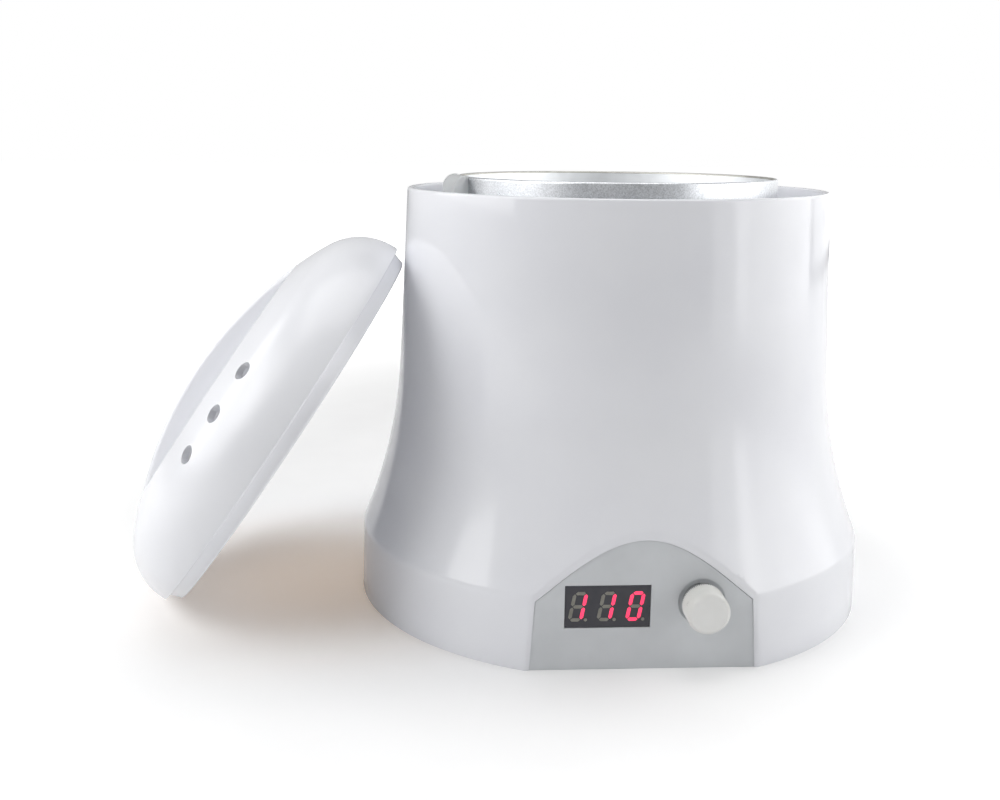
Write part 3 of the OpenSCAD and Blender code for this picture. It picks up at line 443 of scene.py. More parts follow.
def shape_outline(obj):
    """Moves the points on the panel's own outline by the same small rule as the opening's."""
    for v in obj.data.vertices:
        x, z = v.co.x * 1000, v.co.z * 1000
        across = abs(x) / (half_at_crease - border)
        top = arch(min(across, 1) * half_at_crease) - border * 1.1
        if z < 0.6 or across > 0.985 or abs(z - top) < 0.3:
            x, z = fuller(x, z)
            v.co.x, v.co.z = mm(x), mm(z)


panel = softened_copy("control_panel_face", "control_panel", 0.25, shape=shape_outline)
base_cover = softened_copy("base_cover", "base_plate", 0.25)
display_case = softened_copy("display_case", "display_module", 0.0)
nut = softened_copy("encoder_nut_piece", "encoder_nut", 0.12)
print("copies:", [len(o.data.polygons) for o in (panel, base_cover, display_case, nut)])

# %% [markdown]
# The deck is the ring-shaped floor between the pot and the wall, and the well is the
# drawn can that the pot stands in. Both are seen from above, so they are turned.

# %% Deck and well
well_gap, well_wall, well_corner = 0.6, 1.5, 8
pot_gap, deck_gap = 0.3, 0.3
deck_outer, deck_under, collar_foot = 75.0, 135, 129
well_inner = pot_radius + well_gap
well_outer = well_inner + well_wall
collar = well_outer + deck_gap
deck = turned("deck_ring", [
    (collar, collar_foot), (collar + 2, collar_foot), (collar + 2, deck_under),
    (deck_outer, deck_under), (deck_outer, deck_height - 0.6), (deck_outer - 0.6, deck_height),
    (collar + 0.6, deck_height), (collar, deck_height - 0.4), (collar, collar_foot)])
shade(deck)
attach(deck, "base")
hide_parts("inner_ring")

pot_floor = pot_top - pot_height
well_floor = pot_floor - pot_gap
corner_z, outer_corner = well_floor + well_corner, well_corner + well_wall
well = turned("heating_well_can", [(0, well_floor)]
    + arc((well_inner - well_corner, corner_z), well_corner, -90, 0, 10)
    + [(well_inner, deck_height + 0.4)]
    + arc((well_inner + 0.8, deck_height + 0.4), 0.8, 180, 90, 4)
    + [(well_outer + 5.6, deck_height + 1.2), (well_outer + 6, deck_height + 0.8),
       (well_outer + 6, deck_height), (well_outer, deck_height)]
    + [(well_outer, corner_z)]
    + arc((well_outer - outer_corner, corner_z), outer_corner, 0, -90, 10)
    + [(0, well_floor - well_wall)])
shade(well, 40)
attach(well, "base")
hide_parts("heating_well")
print("deck and well:", len(deck.data.polygons), len(well.data.polygons), "faces")

# %% [markdown]
# The pot is a drawn aluminium can with a thin rounded rim. It is blasted outside and
# smoother inside, so its faces will get metals of their own later on.

# %% Pot
edge = pot_wall / 2
pot_corner = 8
inner_corner, pot_inner = pot_corner - pot_wall, pot_radius - pot_wall
pot = turned("wax_pot", [(0, pot_floor)]
    + arc((pot_radius - pot_corner, pot_floor + pot_corner), pot_corner, -90, 0, 12)
    + [(pot_radius, 110), (pot_radius, 135)]
    + arc((pot_radius - edge, pot_top - edge), edge, 0, 180, 10)
    + [(pot_inner, 135), (pot_inner, 110)]
    + arc((pot_inner - inner_corner, pot_floor + pot_corner), inner_corner, 0, -90, 12)
    + [(0, pot_floor + pot_wall)], 300)
shade(pot, 40)
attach(pot, "pot_body")
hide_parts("pot")
print("pot:", len(pot.data.polygons), "faces")

# %% [markdown]
# A block of frosted plastic is riveted to the pot's left side, where fingers or a
# pair of tongs can lift it. Its outer top edge is a large quarter round.

# %% Lug, strap and rivets
lug_top, lug_height, lug_depth, lug_round = pot_top + 0.4, 17.0, 5.4, 4.6
lug_start, lug_sweep, rivet_angles = -3.5, 23, (3.5, 12.5)
lug_inner = pot_radius + 0.1
lug_outer, lug_foot = lug_inner + lug_depth, lug_top - lug_height
lug = turned("pot_lug_block",
    [(lug_inner, lug_foot), (lug_outer - 0.5, lug_foot), (lug_outer, lug_foot + 0.5)]
    + arc((lug_outer - lug_round, lug_top - lug_round), lug_round, 0, 90, 12)
    + [(lug_inner + 0.3, lug_top), (lug_inner, lug_top - 0.3), (lug_inner, lug_foot)],
    40, 180 + lug_start, lug_sweep)
for angle in rivet_angles:
    a = math.radians(180 + angle)
    middle = (lug_outer * math.cos(a), lug_outer * math.sin(a), lug_top - 10)
    combine(lug, cylinder("counterbore", 2.8, 2.8, middle, (0, math.pi / 2, a), 48))
soften(lug, 0.35, 3, 40)
shade(lug, 40)
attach(lug, "pot_body")
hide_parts("pot_lug")

strap = softened_copy("lug_strap_piece", "lug_strap", 0.1)
rivets = softened_copy("lug_rivet_pair", "lug_rivets", 0.15)
print("lug:", len(lug.data.polygons), "faces")

# %% [markdown]
# The lid is a shallow dome with a deep round recess on top, and a grip bar runs right
# across the recess with its top on the dome's own curve. It is built upright about
# the axis first: the dome with its recess, then the bar, then the hollow inside.

# %% Lid sizes
lip_radius, dome_radius = rim_radius - wall - 0.3, rim_radius + 0.5
lip_height, dome_height, edge_height, side_radius = 4.8, 37.3, 0.6, 24.0
lid_wall, shelf = 2.4, 2.0
lip_end, lip_root, lip_round = lip_radius - 0.1, lip_radius + 1.0, 1.1
crown_rise = dome_height - edge_height
crown_radius = (dome_radius - side_radius) ** 2 + crown_rise**2 - side_radius**2
crown_radius /= 2 * (crown_rise - side_radius)
crown_centre = lip_height + dome_height - crown_radius
side_centre = (dome_radius - side_radius, lip_height + edge_height)
recess_radius, recess_depth, recess_edge = 52.0, 13.0, 2.0
recess_floor = crown_centre + math.sqrt(crown_radius**2 - recess_radius**2) - recess_depth
bowl_radius = (recess_radius**2 + recess_depth**2) / (2 * recess_depth)
bowl_centre = recess_floor + bowl_radius
bar_half = 7.0
lean, spin_angle = math.radians(55.8), math.radians(6)
lid_y, wall_gap, resting_lip = -4.7, 0.3, 4.0
print("crown radius", round(crown_radius, 2), "bowl radius", round(bowl_radius, 2))


def polar(centre, point):
    """Angle in degrees of a point seen from a centre, both (radius, height)."""
    return math.degrees(math.atan2(point[1] - centre[1], point[0] - centre[0]))


# %% [markdown]
# The dome's outline is the lip, a round side that meets the crown without a kink, and
# the bowl of the recess. A small arc that touches crown and bowl is the recess's edge,
# and its middle is where two slightly moved circles cross.

# %% Lid, dome and recess
join_angle = polar(side_centre, (side_centre[0] * 2, 2 * side_centre[1] - crown_centre))
near_crown, near_bowl = crown_radius - recess_edge, bowl_radius + recess_edge
edge_z = near_crown**2 - near_bowl**2 + bowl_centre**2 - crown_centre**2
edge_z /= 2 * (bowl_centre - crown_centre)
edge_middle = (math.sqrt(near_crown**2 - (edge_z - crown_centre) ** 2), edge_z)
on_crown, on_bowl = polar((0, crown_centre), edge_middle), polar((0, bowl_centre), edge_middle)

outside = [(0, 0.0)] + arc((lip_end - lip_round, lip_round), lip_round, -90, 0, 5)
outside += [(lip_root, lip_height)]
outside += arc((dome_radius - 0.45, lip_height + 0.45), 0.45, -90, 0, 4)
outside += arc(side_centre, side_radius, 0, join_angle, 36)
outside += arc((0, crown_centre), crown_radius, join_angle, on_crown, 10)[1:]
outside += arc(edge_middle, recess_edge, on_crown, on_bowl + 180, 8)[1:]
outside += arc((0, bowl_centre), bowl_radius, on_bowl, -90, 40)[1:]
lid = turned("dome_lid", outside, 360)
print("lid outside:", len(lid.data.polygons), "faces")

# %% [markdown]
# The grip bar is a slice of a large disc that stands on edge, so that its top follows
# the crown. Its rim is rounded, and only what lies within the recess is kept.

# %% Lid, grip bar
def bar_disc(name, inset, keep_radius, low):
    """The bar's disc, moved inwards by inset, within a radius and above a height in mm."""
    half, top = bar_half - inset, crown_radius - inset - 0.04
    soft = min(2.2, half - 0.5)
    outline = [(0, -half)] + arc((top - soft, -half + soft), soft, -90, 0, 8)
    outline += arc((top - soft, half - soft), soft, 0, 90, 8) + [(0, half)]
    disc = turned(name, outline, 720)
    fix_place(disc, mm(0, 0, crown_centre), ALONG_Y)
    keep = cylinder("keep", keep_radius, 60, (0, 0, low + 30), vertices=360)
    return combine(disc, keep, "INTERSECT")


combine(lid, bar_disc("bar", 0, recess_radius + 0.3, recess_floor - 1.2), "UNION")
print("lid with bar:", len(lid.data.polygons), "faces")

# %% [markdown]
# The hollow is the dome's outline moved in by the wall, with the underside of the
# recess standing down into it. The bar is hollow too, as a moulding of even wall is.

# %% Lid, inside
side_inner, crown_inner = side_radius - lid_wall, crown_radius - lid_wall
bowl_under, lip_inner = bowl_radius + lid_wall, lip_radius - lid_wall
shelf_angle = math.degrees(math.asin((shelf - edge_height) / side_inner))
flank = recess_radius + lid_wall
flank_top = crown_centre + math.sqrt(crown_inner**2 - flank**2)
flank_foot = bowl_centre - math.sqrt(bowl_under**2 - flank**2)
to_top = polar((0, crown_centre), (flank, flank_top))
to_foot = polar((0, bowl_centre), (flank, flank_foot))
inside = [(0, -2), (lip_inner, -2), (lip_inner, lip_height + shelf)]
inside += arc(side_centre, side_inner, shelf_angle, join_angle, 24)
inside += arc((0, crown_centre), crown_inner, join_angle, to_top, 6)[1:]
inside += [(flank, flank_foot)]
inside += arc((0, bowl_centre), bowl_under, to_foot, -90, 24)[1:]
combine(lid, turned("lid_hollow", inside, 240))
combine(lid, bar_disc("bar_hollow", lid_wall, recess_radius, recess_floor - lid_wall - 1.5))
print("lid hollowed:", len(lid.data.polygons), "faces")

# %% [markdown]
# Three steam vents are drilled square to the dome on its near side. The finished lid
# is then turned a little, tipped over and set down with its lip against the housing.

# %% Lid, vents and place
vent_ring, vent_step, vent_radius = 65.3, 14.6, 3.3
slope = math.asin(vent_ring / crown_radius)
vent_height = crown_centre + math.sqrt(crown_radius**2 - vent_ring**2)
for i in (-1, 0, 1):
    a = math.radians(-90 + i * vent_step)
    place = (vent_ring * math.cos(a), vent_ring * math.sin(a), vent_height)
    combine(lid, cylinder("vent", vent_radius, 20, place, (0, slope, a), 64))

touch_height = 2 * lip_radius * math.sin(lean)
touch_radius = wall_radius(touch_height) + wall_gap
lid_x = -math.sqrt(touch_radius**2 - lid_y**2) - lip_radius * math.cos(lean)
lid_z = dome_radius * math.sin(lean) - resting_lip * math.cos(lean)
soften(lid, 0.3, 2, 38)
select_only(lid)
tipped = Matrix.Rotation(-lean, 4, "Y") @ Matrix.Rotation(spin_angle, 4, "Z")
lid.matrix_world = Matrix.Translation(mm(lid_x, lid_y, lid_z)) @ tipped
bpy.ops.object.transform_apply()
shade(lid, 32)
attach(lid, "lid_body")
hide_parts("lid")
print("lid:", len(lid.data.polygons), "faces, at", round(lid_x, 1), round(lid_z, 1))

# %% [markdown]
# The knob has 72 fine teeth for the fingers and a soft front edge. A circle with four
# points a tooth is extruded along the knob's axis, and each ring is scaled to follow
# the rounded edge, so the teeth fade out towards the front as on the real one.

# %% Knob
knob_front, knob_back = -98.7, -89.4
teeth, tooth_depth, knob_radius, front_round = 72, 0.5, 7.0, 1.3
points_a_tooth, front_steps = 4, 8
select_only()
bpy.ops.mesh.primitive_circle_add(
    vertices=teeth * points_a_tooth, radius=mm(knob_radius), fill_type="NGON",
    location=mm(knob_x, knob_back, knob_z), rotation=ALONG_Y)
knob = bpy.context.object
knob.name = knob.data.name = "ridged_knob"
bpy.ops.object.transform_apply()
axis = mm(knob_x, 0, knob_z)
for i, v in enumerate(knob.data.vertices):
    if i % points_a_tooth in (2, 3):
        spoke = Vector((v.co.x - axis.x, 0, v.co.z - axis.z))
        v.co -= spoke * (tooth_depth / knob_radius)
edit(knob, "FACE")
length = knob_back - knob_front
rings = [(0, 1.0), (length - front_round, 1.0)]  # distance from the back, and scale
for i in range(1, front_steps + 1):
    t = math.radians(90 * i / front_steps)
    depth = length - front_round + front_round * math.sin(t)
    rings.append((depth, 1 - front_round * (1 - math.cos(t)) / knob_radius))
rings += [(length, 0.72), (length - 0.06, 0.6), (length - 0.1, 0.3)]
for (d0, s0), (d1, s1) in zip(rings, rings[1:]):
    bpy.ops.mesh.extrude_region_move(TRANSFORM_OT_translate={"value": mm(0, -(d1 - d0), 0)})
    bpy.ops.transform.resize(
        value=(s1 / s0, 1, s1 / s0), center_override=mm(knob_x, knob_front, knob_z))
close_mesh()
for title, radius, depth in (("shaft_bore", 3.05, length * 2 - 3), ("nut_hollow", 5, 5.2)):
    combine(knob, cylinder(title, radius, depth, (knob_x, knob_back, knob_z), ALONG_Y, 64))
shade(knob, 28)
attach(knob, "knob_body")
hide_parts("knob")
print("knob:", len(knob.data.polygons), "faces")

# %% [markdown]
# The knob stands over a round dish in the panel. Its outer part is shallow, as the
# picture shows, and only its middle is deep enough for the nut, so a flat ring is
# turned and joined to the panel round the nut. Weighted normals then keep the large
# face of the panel evenly shaded up to its rounded edges.

# %% The dish round the knob
dish_radius, nut_room, dish_depth, ring_thickness = 7.75, 6.3, 0.7, 1.6
ring_radius = dish_radius + 0.15
ring = turned("dish_ring", [(nut_room, 0), (ring_radius, 0), (ring_radius, ring_thickness),
    (nut_room, ring_thickness), (nut_room, 0)], 96)
fix_place(ring, mm(knob_x, panel_face + dish_depth, knob_z), BACKWARDS)
combine(panel, ring, "UNION")
shade(panel, 30)
bpy.ops.object.modifier_add(type="WEIGHTED_NORMAL")
panel.modifiers[-1].keep_sharp = True
bpy.ops.object.modifier_apply(modifier=panel.modifiers[-1].name)
print("panel with its dish:", len(panel.data.polygons), "faces")

# %% [markdown]
# Each foot is a rubber pad with a rounded edge, snapped into the base from below, so
# only the pad is seen. One is turned at its place and the others are copies of it.

# %% Feet
def round_axis(radius, height, *angles):
    """Places at a radius and a height in mm, turned round the upright axis by each angle."""
    out = Matrix.Translation(mm(radius, 0, height))
    return [Matrix.Rotation(math.radians(a), 4, "Z") @ out for a in angles]


def copied(obj, places):
    """Moves a finished piece to the first place, copies it to the others and joins them."""
    obj.data.transform(places[0])
    made = [obj]
    for place in places[1:]:
        select_only(obj)
        bpy.ops.object.duplicate()
        twin = bpy.context.object
        twin.matrix_world = place @ places[0].inverted()
        bpy.ops.object.transform_apply()
        made.append(twin)
    select_only(*made[::-1])
    bpy.ops.object.join()
    return bpy.context.object


foot_ring = base_radius - 22
foot = turned("foot_pads", [(0, 0.3), (4.6, 0.3), (5.0, 0)] + arc((6.2, 0.8), 0.8, -90, 0, 5)
    + [(7.0, 2.2), (1.8, 2.2), (1.8, 4.6), (2.6, 4.7), (1.6, 6.4), (0, 6.5)], 64)
shade(foot, 40)
feet = copied(foot, round_axis(foot_ring, 0, 50, 130, 232, 308))
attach(feet, "base")
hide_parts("feet")
print("feet:", len(feet.data.polygons), "faces")

# %% [markdown]
# The cord gland is a turned bush low in the back of the skirt. No cord is fitted, so
# its bore is open and the chamfer at its mouth can be seen.

# %% Cord gland
bore, neck, flange = 3.5, 5.2, 8
face = wall_radius(gland_z - flange) + 0.1
inner = wall_radius(gland_z, wall)
tip = wall_radius(gland_z) + 4
gland = turned("cord_gland_bush", [
    (bore, inner - 4), (neck, inner - 4), (neck, inner - 3.4), (flange, inner - 3.4),
    (flange, inner - 0.8), (neck, inner - 0.8), (neck, face), (flange - 0.1, face),
    (flange, face + 0.1), (flange, face + 1.1)]
    + arc((flange - 0.9, face + 1.1), 0.9, 0, 90, 5)
    + [(neck + 0.3, face + 2), (neck, face + 2.3), (neck, tip - 0.3), (neck - 0.3, tip),
       (bore + 0.4, tip), (bore, tip - 0.4), (bore, inner - 4)], 96)
fix_place(gland, mm(0, 0, gland_z), BACKWARDS)
shade(gland, 30)
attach(gland, "base")
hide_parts("cord_gland")
print("gland:", len(gland.data.polygons), "faces")

# %% [markdown]
# Small pan-head screws with a cross recess hold the base, the panel and the well. One
# is turned and its recess cut, and the rest are copies.

# %% Screws
def pan_screw(name, head, height, shank, length):
    """A pan-head screw that points up: its head is below z = 0 and its shank above, in mm."""
    obj = turned(name, [(0, -height)] + arc((head - height, 0), height, -90, 0, 8)[1:]
        + [(head, 0), (shank, 0), (shank, length - shank), (0, length)], 48)
    reach, half = head * 0.62, head * 0.22 / 2
    for x, y in ((reach, half), (half, reach)):
        combine(obj, block("recess", (-x, -y, -height - 1), (x, y, -height * 0.35)))
    return shade(obj, 35)


def screws(name, node, screw, places):
    """Screws at a list of matrices, joined into one piece that stands for a node."""
    joined = copied(screw, places)
    joined.name = joined.data.name = name
    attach(joined, "base")
    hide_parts(node)
    return joined


base_ring, well_ring = base_radius - 9.75, well_outer + 3.2
under, flange_top = 3.4, deck_height + 1.2
base_set = screws("base_screw_set", "base_screws", pan_screw("s1", 2.8, 1.5, 1.4, 12),
    round_axis(base_ring, under, 45, 135, 225, 315))
panel_set = screws("panel_screw_pair", "panel_screws", pan_screw("s2", 2.8, 1.5, 1.4, 4.6),
    [Matrix.Translation(mm(x, -80, under)) for x in (-27, 27)])
head_up = Matrix.Rotation(math.pi, 4, "X")
well_set = screws("well_screw_set", "well_screws", pan_screw("s3", 2.0, 1.2, 1.0, 5),
    [place @ head_up for place in round_axis(well_ring, flange_top, 90, 225, 330)])
print("screws:", [len(o.data.polygons) for o in (base_set, panel_set, well_set)])

# %% [markdown]
# Colours are written as the sRGB values that a designer picks, and one function turns
# them to the linear numbers that shaders use. Another adds a node with its settings,
# its values and its links in one line.

# %% Colours and nodes
def srgb(hexcode):
    """An sRGB hex colour as linear red, green, blue and alpha."""
    parts = [int(hexcode[i:i + 2], 16) / 255 for i in (0, 2, 4)]
    return [c / 12.92 if c <= 0.04045 else ((c + 0.055) / 1.055) ** 2.4 for c in parts] + [1.0]


def add(tree, kind, settings=None, values=None, links=None):
    """Adds a node: settings are its properties, values its inputs, links its sources."""
    node = tree.nodes.new("ShaderNode" + kind)
    for key, value in (settings or {}).items():
        setattr(node, key, value)
    for key, value in (values or {}).items():
        node.inputs[key].default_value = value
    for key, (source, output) in (links or {}).items():
        tree.links.new(source.outputs[output], node.inputs[key])
    return node


def new_material(name):
    """A material with its tree, its empty surface shader and the piece's own coordinates."""
    material = bpy.data.materials.new(name)
    material.use_nodes = True
    tree = material.node_tree
    tree.nodes.clear()
    place = add(tree, "TexCoord")
    shader = add(tree, "BsdfPrincipled")
    add(tree, "OutputMaterial", links={"Surface": (shader, "BSDF")})
    return material, tree, place, shader


print("white is", [round(c, 3) for c in srgb("F0F0F3")])

# %% [markdown]
# Most pieces here share a build: two close colours that drift into each other, a
# roughness that varies a little, and a fine bump. What differs is the size of the
# grain, which comes from how the surface was made. Noise repeats per metre, so a grain
# of one size in millimetres has a scale of one thousand over that size.

# %% A general finish
def finish_of(name, light, dark, rough, grain, bump, drift=30.0, rough_drift=0.05,
              metallic=0.0, ior=1.46, **more):
    """Colours and roughness drift over `drift` mm; bumps are `grain` mm wide, `bump` mm high."""
    material, tree, place, shader = new_material(name)
    along = {"Vector": (place, "Object")}
    slow = add(tree, "TexNoise", None,
        {"Scale": 1000 / drift, "Detail": 3.0, "Roughness": 0.5}, along)
    colour = add(tree, "ValToRGB", links={"Fac": (slow, "Fac")})
    for stop, position, hexcode in zip(colour.color_ramp.elements, (0.35, 0.65), (dark, light)):
        stop.position, stop.color = position, srgb(hexcode)
    gloss = add(tree, "MapRange", None, {"From Min": 0.3, "From Max": 0.7,
        "To Min": rough - rough_drift, "To Max": rough + rough_drift}, {"Value": (slow, "Fac")})
    fine = add(tree, "TexNoise", None, {"Scale": 1000 / grain, "Detail": 2.0}, along)
    relief = add(tree, "Bump", None, {"Strength": 1.0, "Distance": mm(bump)},
        {"Height": (fine, "Fac")})
    for node, output, entry in ((colour, "Color", "Base Color"), (gloss, "Result", "Roughness"),
                                (relief, "Normal", "Normal")):
        tree.links.new(node.outputs[output], shader.inputs[entry])
    shader.inputs["Metallic"].default_value = metallic
    if not metallic:
        shader.inputs["IOR"].default_value = ior
    for key, value in more.items():
        shader.inputs[key.replace("_", " ")].default_value = value
    return material


def dress(material, *objects):
    """Gives a piece, or an engineering node by its name, this one material."""
    for obj in objects:
        obj = frame["nodes"][obj] if isinstance(obj, str) else obj
        obj.data.materials.clear()
        obj.data.materials.append(material)


print("finishes ready")

# %% [markdown]
# The housing and lid are high-gloss ABS, moulded in a polished tool. The plastic
# scatters white, and the skin is nearly a mirror: a very low waviness over a few
# millimetres is what bends the edges of a reflected window. The lid is buffed to a
# softer gloss, and the deck and the gland are satin.

# %% White gloss ABS
dress(finish_of("polished_white_abs", "F2F3F7", "EEEFF4", 0.13, 6.0, 0.002, 45, 0.02, ior=1.54),
      shell)
dress(finish_of("buffed_white_abs", "F5F6FA", "F2F3F7", 0.24, 6.0, 0.002, 45, 0.02, ior=1.54), lid)
dress(finish_of("satin_white_abs", "EEEEF2", "E8E8ED", 0.3, 1.2, 0.004, 25, 0.04, ior=1.54),
      deck, gland, "cord_clamp")
print("white ABS on the housing, lid and deck")

# %% [markdown]
# The panel is cool grey ABS with the fine spark-eroded texture that hides scratches,
# about a third of a millimetre from peak to peak. The base is the same in off-white,
# and the knob is a warmer white, moulded smooth.

# %% Textured ABS
dress(finish_of("eroded_grey_abs", "D9DCDF", "D2D5D8", 0.42, 0.35, 0.006, 18, 0.05, ior=1.54),
      panel)
dress(finish_of("eroded_white_abs", "E6E6E9", "DFDFE2", 0.5, 0.5, 0.012, 20, 0.06, ior=1.54),
      base_cover)
dress(finish_of("moulded_warm_white_abs", "F2F2F0", "EDEDEA", 0.3, 0.8, 0.001, 8, 0.03, ior=1.54),
      knob)
print("textured ABS on the panel, base and knob")

# %% [markdown]
# The display is a black filled case under a smooth skin. Its bars are cast in clear
# resin: they are grey when dark, and glow an even pink-red where they are lit.

# %% Display
dress(finish_of("glossy_black_resin", "38383F", "32323A", 0.22, 0.6, 0.002, 6, 0.04, ior=1.52),
      display_case)
dress(finish_of("unlit_grey_resin", "8D8B82", "7D7B72", 0.35, 0.4, 0.003, 3, 0.04, ior=1.52),
      "unlit_segments")
bar_lit = finish_of("lit_red_resin", "FF3D63", "FF2A55", 0.35, 0.4, 0.003, 3, 0.04, ior=1.52)
glow = bar_lit.node_tree.nodes["Principled BSDF"]
glow.inputs["Emission Color"].default_value = srgb("FF3F6B")
glow.inputs["Emission Strength"].default_value = 0.9
dress(bar_lit, "lit_segments")
print("display dressed")

# %% [markdown]
# The pot's outside was blasted with fine glass beads, which leaves a bright sparkle
# of dents a few tenths of a millimetre across. The inside keeps the smoother skin that
# the drawing tool left, and the inner half of the rim's round is a darker, duller metal.

# %% Aluminium
def blasted_aluminium(name, light, dark, rough, bead, depth):
    """Bead-blasted aluminium: dents of the beads' size, each with its own slope and brightness."""
    material = finish_of(name, light, dark, rough, bead, depth, 14, 0.06, metallic=1.0)
    tree = material.node_tree
    place, shader, relief = (
        tree.nodes[n] for n in ("Texture Coordinate", "Principled BSDF", "Bump"))
    colour, fine = (shader.inputs["Base Color"].links[0].from_node,
                    relief.inputs["Height"].links[0].from_node)
    dents = add(tree, "TexVoronoi", None, {"Scale": 1000 / bead},
        {"Vector": (place, "Object")})
    height = add(tree, "Math", {"operation": "ADD"}, None,
        {0: (dents, "Distance"), 1: (fine, "Fac")})
    tree.links.new(height.outputs["Value"], relief.inputs["Height"])
    own = add(tree, "SeparateColor", links={"Color": (dents, "Color")})
    sparkle = add(tree, "MapRange", None, {"To Min": 0.78, "To Max": 1.1},
        {"Value": (own, "Red")})
    tint = add(tree, "VectorMath", {"operation": "SCALE"}, None,
        {"Vector": (colour, "Color"), "Scale": (sparkle, "Result")})
    tree.links.new(tint.outputs["Vector"], shader.inputs["Base Color"])
    return material


blasted = blasted_aluminium("bead_blasted_aluminium", "D4D6D9", "C8CBCF", 0.3, 0.34, 0.024)
drawn = finish_of("drawn_aluminium", "EBEDEF", "E2E4E6", 0.5, 0.9, 0.003, 10, 0.05, metallic=1.0)
# A darker, duller metal that goes only on the inner half of the rim's round.
darker_rim_metal = finish_of("darker_rim_aluminium", "BAB9B3", "ABAAA4", 0.5, 0.3, 0.006, 5, 0.06,
                     metallic=1.0)
dress(blasted, pot)
pot.data.materials.append(drawn)
pot.data.materials.append(darker_rim_metal)
for polygon in pot.data.polygons:
    middle = polygon.center * 1000
    from_axis = math.hypot(middle.x, middle.y)
    # Faces on the inner half of the rim's round take the darker rim metal.
    if middle.z > pot_top - edge and from_axis < pot_radius - edge * 1.25:
        polygon.material_index = 2
    elif middle.z > pot_floor + 1.2 and from_axis < pot_inner + 0.05:
        polygon.material_index = 1
dress(drawn, well)
print("aluminium on the pot and well")

# %% [markdown]
# The lug is frosted, slightly see-through plastic with a cool tint. The screws and
# rivets are zinc-plated steel, and the strap is darker.

# %% Lug, steel and rubber
frosted = finish_of("frosted_blue_plastic", "F8FBFC", "F2F7F9", 0.35, 0.7, 0.006, 6, 0.06,
                    ior=1.49, Subsurface_Weight=0.8, Subsurface_Radius=(1, 1, 1),
                    Subsurface_Scale=0.015, Transmission_Weight=0.45)
dress(frosted, lug)
zinc = finish_of("zinc_plated_steel", "C9CACC", "B4B6B9", 0.3, 0.3, 0.004, 3, 0.08, metallic=1.0)
dress(zinc, rivets, base_set, panel_set, well_set, nut, "ring_screws", "sensor_nuts",
      "board_screws", "power_board_screws", "clamp_screws", "clamp_band", "mains_fuse")
dress(finish_of("blued_steel", "5A6871", "47535B", 0.38, 0.4, 0.004, 4, 0.08, metallic=1.0),
      strap, "encoder_body", "encoder_shaft")
dress(finish_of("moulded_rubber", "4C4C50", "424246", 0.75, 0.4, 0.02, 6, 0.08, ior=1.52), feet)
print("lug, steel and rubber dressed")

# %% [markdown]
# What is inside is seen only through the slots of the base, but each piece still has
# the finish of the real one: laminate boards, a varnished iron core, glass-fibre felt,
# mica, brass and the coloured sleeves of the leads.

# %% Inner pieces
inner_finishes = [
    ("glass_fibre_felt", "EDE9DF", "E0DBCD", 0.95, 0.8, 0.2, 8, 0.03, "insulation_wrap"),
    ("heater_mica", "D0BB8C", "BDA876", 0.5, 0.9, 0.02, 5, 0.1, "heater_band"),
    ("green_board", "35774D", "2B6440", 0.4, 0.6, 0.01, 6, 0.08, "display_board"),
    ("paper_laminate", "C2A366", "B08F52", 0.55, 0.5, 0.01, 5, 0.08, "power_board"),
    ("black_phenolic", "2C2C31", "232328", 0.5, 0.5, 0.01, 5, 0.08,
     "thermal_cutout temperature_sensor"),
    ("buff_ceramic", "DCCDAE", "CDBD9B", 0.6, 0.5, 0.01, 4, 0.08, "thermal_fuse"),
    ("varnished_iron", "5A5E64", "4A4E53", 0.45, 0.5, 0.02, 5, 0.1, "transformer"),
    ("blue_relay_case", "34558F", "2B487C", 0.35, 0.6, 0.005, 5, 0.06, "relay"),
    ("capacitor_sleeve", "DAB545", "C9A336", 0.4, 0.6, 0.005, 5, 0.08, "capacitors"),
    ("green_terminal", "459A5E", "3A8650", 0.4, 0.6, 0.006, 5, 0.06, "terminal_block"),
    ("ivory_nylon", "F0EEE6", "E4E1D6", 0.45, 0.6, 0.006, 5, 0.06, "board_sockets encoder_plunger"),
    ("grey_ribbon", "979BA1", "868A90", 0.45, 0.7, 0.01, 4, 0.06, "ribbon_cable"),
    ("red_silicone_sleeve", "B23A36", "9C2F2C", 0.5, 0.7, 0.01, 4, 0.06, "heater_leads"),
    ("blue_sleeve", "3F74B4", "3464A0", 0.45, 0.7, 0.01, 4, 0.06, "cutout_leads"),
    ("yellow_sleeve", "E0B238", "CC9E2B", 0.45, 0.7, 0.01, 4, 0.06, "sensor_leads"),
    ("green_sleeve", "74A63E", "638F33", 0.45, 0.7, 0.01, 4, 0.06, "earth_lead"),
]
for *finish, nodes in inner_finishes:
    dress(finish_of(*finish), *nodes.split())
dress(finish_of("tinned_brass", "D2B264", "BE9C4E", 0.35, 0.4, 0.006, 3, 0.08, metallic=1.0),
      "earth_tag")
print("inner finishes:", len(inner_finishes) + 1)

# %% [markdown]
# The floor is pale and plain. Away from the object it fades to the white that the
# camera sees behind it. Near the object that whitening falls off over an oval, which
# paints a soft shade round the object on top of its real shadow. Light that has been
# between the lid and the housing comes back warm, and that warm bounce is painted on the
# floor there. All of this is only seen, by the camera and in reflections, and none of it
# lights the object.

# %% Floor
SMOOTH = {"interpolation_type": "SMOOTHSTEP"}
# The oval's size and centre place the painted shade round the object, and the gap centre places the
# painted warm bounce.
oval_scale, painted_shade_centre, gap_centre = (1.0, 0.524, 1.0), (-0.056, 0.0635, 0.0), (-0.1116, 0.0, 0.0)
mirror_share = 0.15


def direct_rays(tree):
    """The kinds of ray, and a value of 1 for what is seen directly or through clear plastic."""
    ray = add(tree, "LightPath")
    return ray, add(tree, "Math", {"operation": "ADD"}, None,
                    {0: (ray, "Is Camera Ray"), 1: (ray, "Is Transmission Ray")})


